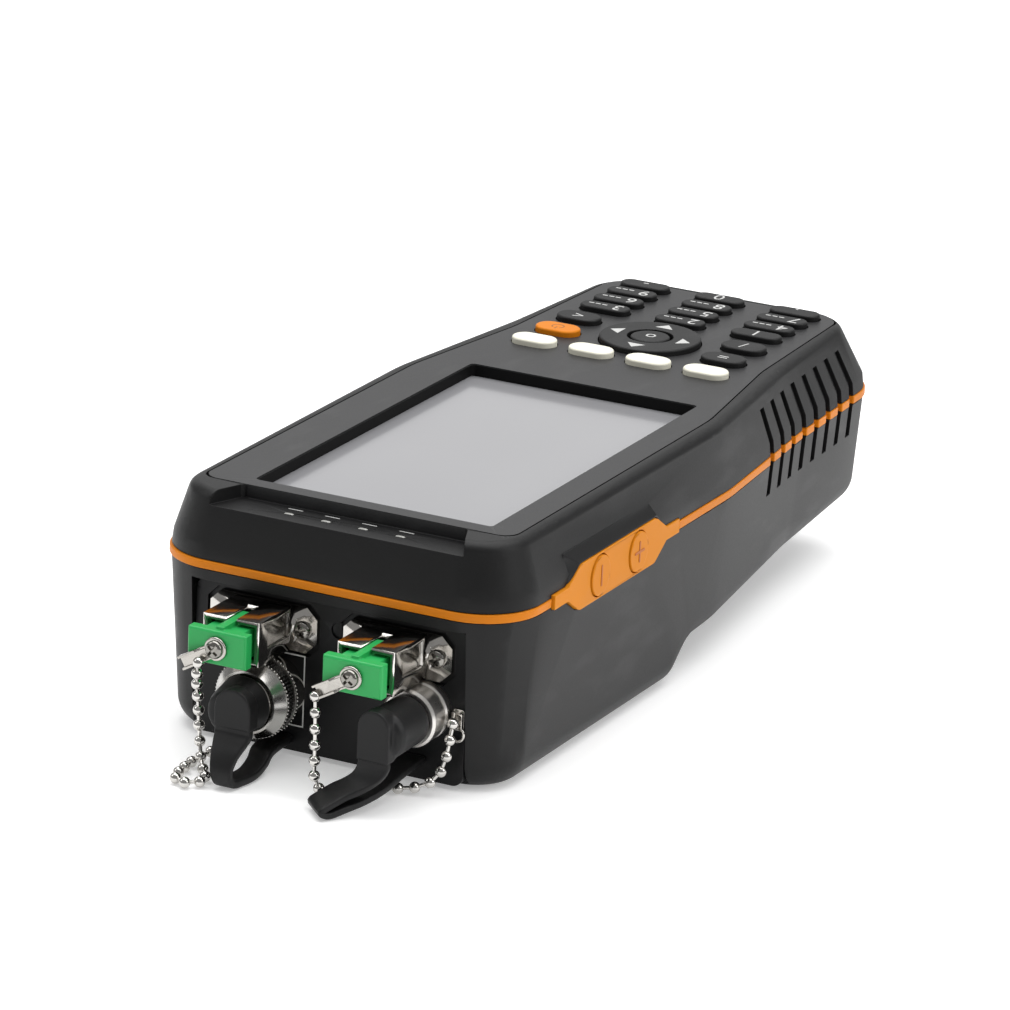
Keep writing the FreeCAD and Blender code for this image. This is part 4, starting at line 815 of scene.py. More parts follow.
def copied(copies: Tree, template: Piece, name: str, finish: Finish, spots: Sequence[Point]) -> Piece:
    """Copy one shape to several spots.

    Args:
        copies: the tree that places them.
        template: the shape, which is removed.
        name: the piece's name.
        finish: what it is made of.
        spots: where the copies go.

    Returns:
        The piece.
    """
    host = bmesh.new()
    for spot in spots:
        host.verts.new(at(*spot))
    piece = copies.grow(finished(name + "_places", host, finish), name, finish, Template=template)
    bpy.data.objects.remove(template)
    return piece


# Shapes


def outward(bm: BMesh) -> None:
    """Merge doubles and turn the faces outwards."""
    bmesh.ops.remove_doubles(bm, verts=bm.verts, dist=DOUBLE)
    bmesh.ops.recalc_face_normals(bm, faces=bm.faces)


def join_rings(bm: BMesh, rings: Sequence[Sequence[Any]]) -> None:
    """Face the gap between each ring of points and the next.

    Args:
        bm: the mesh that takes the faces.
        rings: closed rings of as many points each; a ring of one point is a tip.
    """
    for first, second in zip(rings, rings[1:]):
        count = max(len(first), len(second))
        for i in range(count):
            j = (i + 1) % count
            ends = [(first, i), (first, j), (second, j), (second, i)]
            bm.faces.new(list(dict.fromkeys(ring[k % len(ring)] for ring, k in ends)))


def loft(bm: BMesh, rings: Sequence[Sequence[Any]]) -> None:
    """Closed form through rings of points, with a flat face at each end.

    Args:
        bm: the mesh that takes the faces.
        rings: closed rings of as many points each.
    """
    join_rings(bm, rings)
    bm.faces.new(rings[0])
    bm.faces.new(rings[-1])


def slab(bm: BMesh, outline: Sequence[Flat], low: float, high: float, place: Place) -> None:
    """Closed slab over an outline of (u, v) corners between two levels, at points from (u, v, level)."""
    loft(bm, [[bm.verts.new(place(u, v, w)) for u, v in outline] for w in (low, high)])


def lathe(bm: BMesh, profile: Sequence[Flat], x: float, z: float, steps: int) -> None:
    """Turn a profile about an axis along Y.

    Args:
        bm: the mesh that takes the faces.
        profile: (radius, y) points from one end to the other; a radius of 0 closes an end.
        x: the axis's x.
        z: the axis's z.
        steps: faces round the axis.
    """
    turn = [FULL_TURN * i / steps for i in range(steps)]
    rings = []
    for radius, y in profile:
        angles = turn if radius else turn[:1]
        spots = [(x + radius * math.cos(a), y, z + radius * math.sin(a)) for a in angles]
        rings.append([bm.verts.new(at(*spot)) for spot in spots])
    join_rings(bm, rings)


def turned(name: str, finish: Finish, profile: Sequence[Flat], x: float, z: float, steps: int,
           angle: float) -> Piece:
    """Shaded piece turned about an axis along Y.

    Args:
        name: the piece's name.
        finish: what it is made of.
        profile: its (radius, y) points.
        x: the axis's x.
        z: the axis's z.
        steps: faces round the axis.
        angle: above which an edge is sharp, in degrees.

    Returns:
        The piece.
    """
    bm = bmesh.new()
    lathe(bm, profile, x, z, steps)
    return shade(closed(name, bm, finish), angle)


def rounded(width: float, height: float, radius: float, steps: int = 6) -> list[Flat]:
    """Rounded rectangle round the origin, counter-clockwise.

    Args:
        width: size along u.
        height: size along v.
        radius: of the corners.
        steps: points in a corner, less one.

    Returns:
        Its (u, v) corners.
    """
    points = []
    for sx, sy, start in ((1, -1, -90), (1, 1, 0), (-1, 1, 90), (-1, -1, 180)):
        cx = sx * (width / 2 - radius)
        cy = sy * (height / 2 - radius)
        for i in range(steps + 1):
            a = math.radians(start + 90 * i / steps)
            points.append((cx + radius * math.cos(a), cy + radius * math.sin(a)))
    return points


def pill(width: float, height: float, steps: int = 6) -> list[Flat]:
    """Outline with round ends, round the origin."""
    return rounded(width, height, min(width, height) / PILL, steps)


def shifted(points: Sequence[Flat], radius: float, y: float) -> list[Flat]:
    """Points of a turned outline that are measured from a radius and a y."""
    return [(radius + out, y + along) for out, along in points]


def within(box: tuple[Point, Point], spot: Vector) -> bool:
    """Whether a point lies in a box on the right, or in its mirror on the left."""
    return all(a < b < c for a, b, c in zip(box[0], (abs(spot.x), spot.y, spot.z), box[1]))


def split_faces(bm: BMesh, zone: Zone, edge_mm: float = 4.0, rounds: int = 7) -> None:
    """Split the large faces in a zone without moving them.

    Args:
        bm: the mesh.
        zone: tells whether a point, in millimetres, takes part.
        edge_mm: the longest edge that stays whole.
        rounds: how often an edge is halved at most.
    """
    for _ in range(rounds):
        whole = [e for e in bm.edges if e.calc_length() > edge_mm * MM]
        split = [e for e in whole if all(zone(v.co / MM) for v in e.verts)]
        if not split:
            return
        bmesh.ops.subdivide_edges(bm, edges=split, cuts=1)
        bmesh.ops.triangulate(bm, faces=[f for f in bm.faces if len(f.verts) > 3])


def calm(piece: Piece, zone: Zone, rounds: int = 60) -> None:
    """Even out the shading of the walls in a zone, between their sharp edges.

    Args:
        piece: the piece.
        zone: tells whether a point, in millimetres, takes part.
        rounds: how often each vertex takes the mean of its neighbours.
    """
    mesh = piece.data
    fixed = {v for e in mesh.edges if e.use_edge_sharp for v in e.vertices}
    corners = [n.vector.copy() for n in mesh.corner_normals]
    normals: dict[int, Vector] = {}
    for loop in mesh.loops:
        v = loop.vertex_index
        if v not in fixed and abs(corners[loop.index].x) > WALL and zone(mesh.vertices[v].co / MM):
            normals[v] = normals.get(v, Vector()) + corners[loop.index]
    near: dict[int, list[int]] = {v: [] for v in normals}
    for a, b in (e.vertices for e in mesh.edges):
        if a in near and b in near:
            near[a].append(b)
            near[b].append(a)
    for _ in range(rounds):
        normals = {v: sum((normals[w].normalized() for w in near[v]), n.normalized())
                   for v, n in normals.items()}
    for loop in mesh.loops:
        if loop.vertex_index in normals and abs(corners[loop.index].x) > WALL:
            corners[loop.index] = normals[loop.vertex_index].normalized()
    mesh.normals_split_custom_set(corners)


def node_skin(frame: Frame, node: str, finish: Finish, edge_mm: float, segments: int = 2,
              zone: Zone | None = None) -> Piece:
    """Copy of a CAD node with welded faces and broken edges.

    Args:
        node: the node's name.
        finish: what the piece is made of.
        edge_mm: width of the broken edges.
        segments: steps across a broken edge.
        zone: where the shading of the walls is evened out, if anywhere.

    Returns:
        The piece, not yet on a body.
    """
    bm = bmesh.new()
    bm.from_mesh(frame["nodes"][node].data)
    bmesh.ops.remove_doubles(bm, verts=bm.verts, dist=WELD)
    if zone:
        split_faces(bm, zone)
    piece = soften(shade(finished(node + "_skin", bm, finish)), edge_mm, segments)
    if zone:
        calm(piece, zone)
    return piece


def lettering(text: str, size_mm: float, spot: Point, turn: Matrix) -> BMesh:
    """Thin characters as a mesh.

    Args:
        text: the characters.
        size_mm: their height.
        spot: the middle of the line.
        turn: the turn from the flat text to its place.

    Returns:
        The mesh in the part's frame.
    """
    line_share = 1.4
    thick_mm = 0.03
    curve = bpy.data.curves.new("letters", "FONT")
    curve.body = text
    curve.size = size_mm * MM * line_share
    curve.align_x = "CENTER"
    curve.align_y = "CENTER"
    curve.extrude = thick_mm * MM / 2
    curve.resolution_u = 4
    obj = placed("letters", curve)
    mesh = evaluated(obj)
    mesh.transform(Matrix.Translation(at(*spot)) @ turn)
    bm = bmesh.new()
    bm.from_mesh(mesh)
    bpy.data.meshes.remove(mesh)
    bpy.data.objects.remove(obj)
    bpy.data.curves.remove(curve)
    return bm


# Sub-assemblies


@dataclass
class Casing:
    """Both shells, the seam band, the face plate and what closes them."""

    edge_mm: float = 0.1
    plate_edge_mm: float = 0.03
    band_edge_mm: float = 0.3
    pad_edge_mm: float = 0.12
    band_z: float = 37.8
    band_slim: float = 0.86
    band_draw: float = 0.9955
    window_middle: Flat = (1.9, 63.35)
    window_size: Flat = (54.2, 96.7)
    window_radius: float = 1.0
    window_levels: Flat = (49.75, 52.2)
    shade_insets: Flat = (0.02, 0.3)
    upper_walls: tuple[Point, Point] = ((24.0, 26.0, 38.8), (50.0, 140.0, 51.0))
    lower_walls: tuple[Point, Point] = ((24.0, -42.0, 6.0), (50.0, 140.0, 36.8))

    def build(self, frame: Frame) -> None:
        """Make the pieces of the casing and hide the nodes that they stand for.
        """
        for node, walls in (("upper_shell", self.upper_walls), ("lower_shell", self.lower_walls)):
            shell = node_skin(frame, node, CASING, self.edge_mm, zone=partial(within, walls))
            ride(shell, stands_for=node)
        ride(node_skin(frame, "face_plate", FACE, self.plate_edge_mm), stands_for="face_plate")
        band = node_skin(frame, "seam_band", ORANGE, self.band_edge_mm)
        for vertex in band.data.vertices:
            vertex.co.x *= self.band_draw
            vertex.co.z = (self.band_z + (vertex.co.z / MM - self.band_z) * self.band_slim) * MM
        ride(band, stands_for="seam_band")
        ride(node_skin(frame, "side_pad", PAD, self.pad_edge_mm), stands_for="side_pad")
        ride(node_skin(frame, "case_screws", STEEL, self.edge_mm), stands_for="case_screws")
        self._window_shade()

    def _window_shade(self) -> None:
        """Black lining on the display window's wall: painted shade of the window's recess."""
        x, y = self.window_middle
        width, length = self.window_size
        low, top = self.window_levels
        outer, inner = self.shade_insets
        bm = bmesh.new()
        rings = []
        for inset, z in ((outer, low), (outer, top), (inner, top), (inner, low)):
            outline = rounded(width - 2 * inset, length - 2 * inset, self.window_radius)
            rings.append([bm.verts.new(at(x + u, y + v, z)) for u, v in outline])
        join_rings(bm, rings + rings[:1])
        ride(closed("display_gasket", bm, WINDOW_SHADE))


@dataclass
class LampLedge:
    """Lamp windows and their tick marks on the ledge."""

    pitch: float = 8.45
    count: int = 4
    y: float = 6.8
    top_z: float = 49.6
    length: float = 2.1
    width: float = 0.9
    lens: tuple[Flat, ...] = ((1.0, -1.6), (1.0, -0.1), (0.82, 0.0))
    lens_angle: float = 40.0
    tick_y: float = 9.6
    tick_length: float = 3.4
    tick_width: float = 0.35
    tick_top: float = 0.02
    tick_steps: int = 3

    def build(self, copies: Tree) -> None:
        """Make the windows and the ticks as copies of one shape each.

        Args:
            copies: the tree that places them.
        """
        bm = bmesh.new()
        rings = []
        for share, level in self.lens:
            outline = pill(self.length * share, self.width * share)
            rings.append([bm.verts.new(local(u, v, level)) for u, v in outline])
        loft(bm, rings)
        lens = closed("lamp_lens", bm, LAMP)
        lamps = copied(copies, lens, "lamp_lenses", LAMP, self._places(self.y))
        ride(shade(lamps, self.lens_angle), stands_for="lamp_windows")
        bm = bmesh.new()
        slab(bm, pill(self.tick_length, self.tick_width, self.tick_steps), INK_LOW, self.tick_top, local)
        tick = closed("lamp_tick", bm, GREY_INK)
        ride(copied(copies, tick, "lamp_ticks", GREY_INK, self._places(self.tick_y)))

    def _places(self, y: float) -> list[Point]:
        """Spots on the ledge in line with the lamps."""
        start = -self.pitch * (self.count - 1) / 2
        return [(start + i * self.pitch, y, self.top_z) for i in range(self.count)]


@dataclass
class Keypad:
    """Face keys with their marks."""

    edge_mm: float = 0.15
    top_z: float = TOP_Z + 1.3
    ink_top: float = 0.015
    soft_keys: int = 4
    mark_mm: float = 3.6
    sign_mm: float = 3.4
    columns: int = 3
    column_pitch: float = 18.6
    row_pitch: float = 6.95
    first_row_y: float = 164.2
    nav_y: float = 148.6
    side_x: float = 20.2
    near_y: float = 143.6
    far_y: float = 154.2
    marks: tuple[str, ...] = (
        "3 ---", "2 ---", "1", "6 ---", "5 ---", "4 ---", "9 ---", "8 ---", "7 ---", "-", "0", ".")
    power_radii: Flat = (1.5, 1.15)
    power_arc: Flat = (125.0, 290.0)
    power_steps: int = 24
    power_bar: Point = (0.18, 0.4, 1.9)
    arrow: tuple[Flat, ...] = ((-2.1, 7.0), (2.1, 7.0), (0.0, 9.7))

    def build(self, frame: Frame) -> None:
        """Make every key and its mark.
        """
        for i in range(self.soft_keys):
            self._key(frame, "soft_key_%d" % (i + 1), CREAM_KEY)
        self._key(frame, "power_key", ORANGE)
        for name in ("escape_key", "function_key_near", "function_key_far", "nav_ring", "ok_key"):
            self._key(frame, name, BLACK_KEY)
        for i, mark in enumerate(self.marks):
            name = "number_key_%02d" % (i + 1)
            self._key(frame, name, BLACK_KEY)
            row, column = divmod(i, self.columns)
            spot = ((column - 1) * self.column_pitch, self.first_row_y + row * self.row_pitch)
            self._mark(name, mark, spot, self.mark_mm)
        self._mark("ok_key", "o", (0.0, self.nav_y), self.sign_mm)
        self._mark("escape_key", "<", (-self.side_x, self.far_y), self.sign_mm)
        self._mark("function_key_near", "=", (self.side_x, self.near_y), self.sign_mm)
        self._mark("function_key_far", "/", (self.side_x, self.far_y), self.sign_mm)
        self._power_sign()
        self._arrows()

    def _key(self, frame: Frame, name: str, finish: Finish) -> None:
        """Make one key."""
        ride(node_skin(frame, name, finish, self.edge_mm), name, name)

    def _mark(self, key: str, text: str, spot: Flat, size: float) -> None:
        """Print a character on a key, upright for a reader at the keypad end."""
        bm = lettering(text, size, (*spot, self.top_z), Matrix.Rotation(math.pi, 4, "Z"))
        ride(finished(key + "_mark", bm, GREY_INK), key)

    def _print(self, bm: BMesh, outline: Sequence[Flat], place: Place) -> None:
        """Lay ink over an outline on the keys' tops."""
        slab(bm, outline, self.top_z + INK_LOW, self.top_z + self.ink_top, place)

    def _power_place(self, u: float, v: float, w: float) -> Vector:
        """Point of the power key's sign."""
        return at(-self.side_x + u, self.near_y - v, w)

    def _nav_place(self, u: float, v: float, w: float) -> Vector:
        """Point of the navigation ring's arrows."""
        return at(u, self.nav_y + v, w)

    def _power_sign(self) -> None:
        """Print an open circle with a bar on the power key."""
        start, sweep = self.power_arc
        outer, inner = self.power_radii
        half, low, high = self.power_bar
        arc = [math.radians(start + sweep * i / self.power_steps) for i in range(self.power_steps + 1)]
        ring = [(outer * math.cos(a), outer * math.sin(a)) for a in arc]
        ring += [(inner * math.cos(a), inner * math.sin(a)) for a in reversed(arc)]
        bm = bmesh.new()
        for outline in (ring, [(-half, low), (half, low), (half, high), (-half, high)]):
            self._print(bm, outline, self._power_place)
        ride(closed("power_key_mark", bm, DARK_INK), "power_key")

    def _arrows(self) -> None:
        """Print four arrowheads on the navigation ring."""
        bm = bmesh.new()
        for quarter in range(4):
            turn = Matrix.Rotation(quarter * math.pi / 2, 2)
            self._print(bm, [tuple(turn @ Vector(p)) for p in self.arrow], self._nav_place)
        ride(closed("nav_ring_mark", bm, GREY_INK), "nav_ring")


@dataclass
class SideKeys:
    """Minus and plus keys on the side pad."""

    edge_mm: float = 0.2
    edge_steps: int = 3
    face_x: float = 42.45
    minus_y: float = 38.8
    plus_y: float = 56.6
    z: float = 37.8
    bar: float = 4.6
    stroke: float = 0.55
    sign_low: float = -0.05
    sign_tops: Flat = (0.12, 0.121)

    def build(self, frame: Frame) -> None:
        """Make both keys and their raised signs.
        """
        upright = pill(self.stroke, self.bar)
        along = pill(self.bar, self.stroke)
        signs = (("minus_key", self.minus_y, [upright]), ("plus_key", self.plus_y, [upright, along]))
        for name, y, strokes in signs:
            ride(node_skin(frame, name, PAD, self.edge_mm, self.edge_steps), name, name)
            bm = bmesh.new()
            for outline, top in zip(strokes, self.sign_tops):
                slab(bm, outline, self.sign_low, top, partial(self._place, y))
            ride(closed(name + "_sign", bm, SIGN_INK), name)

    def _place(self, y: float, u: float, v: float, w: float) -> Vector:
        """Point of a sign in the middle of a key: along the side, up, and out."""
        return at(self.face_x + w, y + u, self.z + v)


def panel_point(x: float, z: float, u: float, v: float, w: float) -> Vector:
    """Point in front of the panel: sideways and up from (x, z), and out."""
    return at(x + u, PANEL_Y - w, z + v)


@dataclass
class ConnectorPanel:
    """Panel with the printed frame round the power meter port."""

    edge_mm: float = 0.08
    line: float = 0.28
    ink_top: float = 0.03
    low: Flat = (-21.4, 6.4)
    high: Flat = (-5.5, 21.8)

    def build(self, frame: Frame) -> None:
        """Make the panel and its print.
        """
        panel = node_skin(frame, "connector_panel", PANEL, self.edge_mm)
        ride(panel, stands_for="connector_panel")
        (x0, z0), (x1, z1), line = self.low, self.high, self.line
        bars = ((x0, z0, x1, z0 + line), (x0, z1 - line, x1, z1), (x0, z0 + line, x0 + line, z1 - line),
                (x1 - line, z0 + line, x1, z1 - line))
        bm = bmesh.new()
        for a, b, c, d in bars:
            slab(bm, [(a, b), (c, b), (c, d), (a, d)], INK_LOW, self.ink_top, partial(panel_point, 0.0, 0.0))
        ride(closed("panel_print", bm, WHITE_INK))


@dataclass
class ScrewHead:
    """Domed screw head with a cross recess and a short shank, along Y."""

    height: float
    shank: float
    shank_length: float
    radius: float = 1.9
    arm: float = 1.35
    slot: float = 0.3
    recess: float = 0.25
    dome: tuple[Flat, ...] = ((1.0, 0.38), (0.93, 0.62), (0.74, 0.85), (0.42, 0.97), (0.0, 1.0))
    steps: int = 40

    def build(self, name: str, turn: float, spot: Point = (0.0, REST_Y, 0.0)) -> Piece:
        """Make the screw with its seat at a spot.

        Args:
            name: the object's name.
            turn: turn of the recess in degrees.
            spot: middle of the seat.

        Returns:
            The screw.
        """
        x, y, z = spot
        end = y + self.shank_length
        profile = [(0.0, end), (self.shank, end), (self.shank, y), (self.radius, y)]
        profile += [(self.radius * wide, y - high * self.height) for wide, high in self.dome]
        bm = bmesh.new()
        lathe(bm, profile, x, z, self.steps)
        screw = closed(name, bm, SCREW)
        spin = Matrix.Rotation(math.radians(turn), 2)
        corners = [tuple(spin @ Vector(c)) for c in self._cross()]
        cutter = bmesh.new()
        low, high = y - 2 * self.height, y - self.recess * self.height
        slab(cutter, corners, low, high, lambda u, v, w: at(x + u, w, z + v))
        return carve(screw, cutter)

    def _cross(self) -> list[Flat]:
        """Outline of the recess: one arm, turned by quarters.

        Returns:
            Its (u, v) corners.
        """
        corners = []
        arm = [(self.slot, self.arm), (-self.slot, self.arm), (-self.slot, self.slot)]
        for _ in range(4):
            corners += arm
            arm = [(-v, u) for u, v in arm]
        return corners


@dataclass
class FibreAdapter:
    """One flanged adapter with its dust plug and the plug's tab."""

    side: str
    adapter_edge_mm: float = 0.0
    plug_face_y: float = -17.1
    plug_edge_mm: float = 0.22
    plug_edge_steps: int = 3
    tab_tilt: float = 30.0
    tab_edge_mm: float = 0.1
    tab_angle: float = 30.0
    hole: float = 1.0
    eye: float = 2.5
    eye_edge: Flat = (0.2, 0.5)
    eye_steps: int = 40
    arm_half: float = 1.5
    arm_root: float = -1.7
    arm_start: float = -3.2
    arm_ramp: float = 0.9
    arm_end: float = -8.4
    sheet: float = 0.7
    lip: float = 1.7
    lip_thick: float = 0.5
    lip_rise: float = 0.01
    screw: Point = (1.1, 0.85, 3.0)
    screw_turn: float = 20.0

    def build(self, frame: Frame) -> None:
        """Make the adapter, the plug, the tab and its screw.
        """
        node = "sc_adapter_" + self.side
        ride(node_skin(frame, node, NICKEL, self.adapter_edge_mm), stands_for=node)
        plug = "dust_plug_" + self.side
        ride(node_skin(frame, plug, GREEN, self.plug_edge_mm, self.plug_edge_steps), plug, plug)
        self._tab(plug)
        seat = (ADAPTER_X[self.side], self.plug_face_y - self.sheet, ADAPTER_Z)
        screw = ScrewHead(*self.screw).build("plug_screw_" + self.side, self.tab_tilt + self.screw_turn, seat)
        ride(shade(screw), plug)

    def _place(self, u: float, v: float, w: float) -> Vector:
        """Point of the tab: along its arm, across it, and out from the plug's face."""
        spot = Matrix.Rotation(math.radians(self.tab_tilt), 2) @ Vector((u, v))
        return at(ADAPTER_X[self.side] + spot.x, self.plug_face_y - w, ADAPTER_Z + spot.y)

    def _tab(self, body: str) -> None:
        """Steel eyelet with an arm whose sides are folded up into a channel.

        Args:
            body: the body that carries it.
        """
        bm = bmesh.new()
        turn = [FULL_TURN * i / self.eye_steps for i in range(self.eye_steps)]
        drop, level = self.eye_edge
        rings = []
        for radius, w in ((self.hole, 0.0), (self.eye, 0.0), (self.eye, level), (self.eye - drop, self.sheet),
                          (self.hole, self.sheet)):
            spots = [self._place(math.cos(a) * radius, math.sin(a) * radius, w) for a in turn]
            rings.append([bm.verts.new(spot) for spot in spots])
        join_rings(bm, rings + rings[:1])
        outer, inner = self.arm_half, self.arm_half - self.lip_thick
        sections = []
        for u, high in ((self.arm_root, self.sheet), (self.arm_start, self.sheet),
                        (self.arm_start - self.arm_ramp, self.lip), (self.arm_end, self.lip)):
            top = high + self.lip_rise
            outline = [(-outer, 0.0), (outer, 0.0), (outer, top), (inner, top), (inner, self.sheet),
                       (-inner, self.sheet), (-inner, top), (-outer, top)]
            sections.append([bm.verts.new(self._place(u, v, w)) for v, w in outline])
        loft(bm, sections)
        name = "plug_tab_" + self.side
        piece = shade(closed(name + "_skin", bm, STEEL), self.tab_angle)
        ride(soften(piece, self.tab_edge_mm), body, name)


@dataclass
class AdapterScrews:
    """Domed screws with a cross recess on the adapters' flanges."""

    screw: Point = (1.3, 1.0, 4.0)
    turn: float = 22.0
    spacing: float = 18.2
    seat_y: float = 2.2

    def build(self, copies: Tree) -> None:
        """Make one screw and copy it to the four places.

        Args:
            copies: the tree that places them.
        """
        template = ScrewHead(*self.screw).build("adapter_screw", self.turn)
        spots = [(x + side * self.spacing, self.seat_y, ADAPTER_Z)
                 for x in ADAPTER_X.values() for side in (-0.5, 0.5)]
        piece = copied(copies, template, "adapter_screw_heads", SCREW, spots)
        ride(shade(piece), stands_for="adapter_screws")


@dataclass
class Strap:
    """Flat rubber strap that ties a cap to the panel, through stations of (x, y, z, turn about Z, width)."""

    name: str
    cap: str
    stations: Sequence[Station]
    thick: float
    corner: float = 0.45
    corner_steps: int = 3
    steps: int = 6
    angle: float = 40.0

    def build(self) -> None:
        """Loft the strap through its stations."""
        fine = self._between()
        bm = bmesh.new()
        rings = []
        for i, (spot, turn, width) in enumerate(fine):
            heading = (fine[min(i + 1, len(fine) - 1)][0] - fine[max(i - 1, 0)][0]).normalized()
            across = Vector((math.cos(math.radians(turn)), math.sin(math.radians(turn)), 0.0))
            normal = heading.cross(across).normalized()
            section = rounded(width, self.thick, self.corner, self.corner_steps)
            rings.append([bm.verts.new(at(*(spot + across * u + normal * v))) for u, v in section])
        loft(bm, rings)
        piece = shade(closed(self.name + "_skin", bm, RUBBER), self.angle)
        first, last = self.stations[0], self.stations[-1]
        at(first[0], last[1], first[2])
        at(*first[:3])
        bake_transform(piece)
        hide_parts(self.name)
        LOG.info("%s between housing and %s", piece.name, self.cap)

    def _between(self) -> list[tuple[Vector, float, float]]:
        """Stations with smooth steps between them.

        Returns:
            Spot, turn and width of each step.
        """
        spots = [Vector(s[:3]) for s in self.stations]
        found = []
        for i, (near, far) in enumerate(zip(self.stations, self.stations[1:])):
            p0, p1 = spots[max(i - 1, 0)], spots[i]
            p2, p3 = spots[i + 1], spots[min(i + 2, len(spots) - 1)]
            for k in range(self.steps):
                t = k / self.steps
                spot = 0.5 * (2 * p1 + (p2 - p0) * t + (2 * p0 - 5 * p1 + 4 * p2 - p3) * t * t
                              + (3 * p1 - p0 - 3 * p2 + p3) * t ** 3)
                turn, width = (a * (1 - t) + b * t for a, b in zip(near[3:], far[3:]))
                found.append((spot, turn, width))
        found.append((spots[-1], *self.stations[-1][3:]))
        return found


@dataclass
class CappedPort:
    """Port on the panel, with a rubber cap on its tip and a strap that ties the cap to the panel."""

    name: str
    x: float
    z: float
    nut: float
    shank: float
    tip: float
    tip_y: float
    angle: float
    cap_radius: float
    cap_tip: float
    cap_heel: tuple[Flat, ...]
    cap_nose: tuple[Flat, ...]
    cap_bore: float
    cap_back_y: float
    cap_front_y: float
    tongue_x: float
    tongue_width: float
    tongue_low: float
    tongue_top: float
    strap_thick: float
    route: tuple[Station, ...]
    nut_levels: Flat = (7.0, 5.0)
    bore: float = 1.26
    mouth: float = 1.7
    chamfer: float = 0.4
    port_steps: int = 72
    cap_steps: int = 64
    cap_angle: float = 50.0
    cap_voxel: float = 0.26
    cap_even: tuple[float, int] = (0.5, 6)
    cap_mouth: float = 2.0
    cap_gap: float = 0.3
    bore_steps: int = 48
    tongue_thick: float = 1.9
    tongue_root: float = 1.6
    tongue_steps: int = 20

    def make_port(self, finish: Finish, outer: list[Flat]) -> None:
        """Turn the port with its nut behind the panel, its tip and its ferrule bore.

        Args:
            finish: what it is made of.
            outer: outline between the panel and the tip.
        """
        node = self.name + "_port"
        back, front = self.nut_levels
        edge_y = self.tip_y + self.chamfer
        profile = [(self.bore, back), (self.nut, back), (self.nut, front), (self.shank, front),
                   (self.shank, PANEL_Y), *outer, (self.tip, edge_y), (self.tip - self.chamfer, self.tip_y),
                   (self.mouth, self.tip_y), (self.bore, edge_y), (self.bore, back)]
        piece = turned(node + "_skin", finish, profile, self.x, self.z, self.port_steps, self.angle)
        ride(piece, stands_for=node)

    def make_cap(self) -> None:
        """Melt the cap and its tongue into one form, bore it, and tie it with its strap."""
        cap = self.name + "_cap"
        back, front = self.cap_back_y, self.cap_front_y
        bm = bmesh.new()
        outline = shifted(self.cap_heel, self.cap_radius, back) + shifted(self.cap_nose, self.cap_tip, front)
        lathe(bm, [(0.0, back), *outline, (0.0, front)], self.x, self.z, self.cap_steps)
        span = (front - self.tongue_thick, front + self.tongue_root)
        slab(bm, self._tongue(), *span, lambda u, v, w: at(u, w, v))
        piece = closed(cap + "_skin", bm, RUBBER)
        melt = piece.modifiers.new("melt", "REMESH")
        melt.mode = "VOXEL"
        melt.voxel_size = self.cap_voxel * MM
        even = piece.modifiers.new("even", "SMOOTH")
        even.factor, even.iterations = self.cap_even
        settled(piece).data.shade_smooth()
        cutter = bmesh.new()
        mouth, end = back + self.cap_mouth, self.tip_y - self.cap_gap
        hole = [(0.0, mouth), (self.cap_bore, mouth), (self.cap_bore, end), (0.0, end)]
        lathe(cutter, hole, self.x, self.z, self.bore_steps)
        ride(shade(carve(piece, cutter), self.cap_angle), cap, cap)
        y = front - self.tongue_thick / 2
        stations = [(self.tongue_x + dx, y + dy, *rest) for dx, dy, *rest in self.route]
        Strap(self.name + "_strap", cap, stations, self.strap_thick).build()

    def _tongue(self) -> list[Flat]:
        """Outline of the upright tongue with its round crown.

        Returns:
            Its (x, z) corners.
        """
        x, crown, top = self.tongue_x, self.tongue_width / 2, self.tongue_top
        arc = [math.pi * i / self.tongue_steps for i in range(self.tongue_steps + 1)]
        outline = [(x + crown * math.cos(a), top - crown + crown * math.sin(a)) for a in arc]
        return outline + [(x - crown, self.tongue_low), (x + crown, self.tongue_low)]


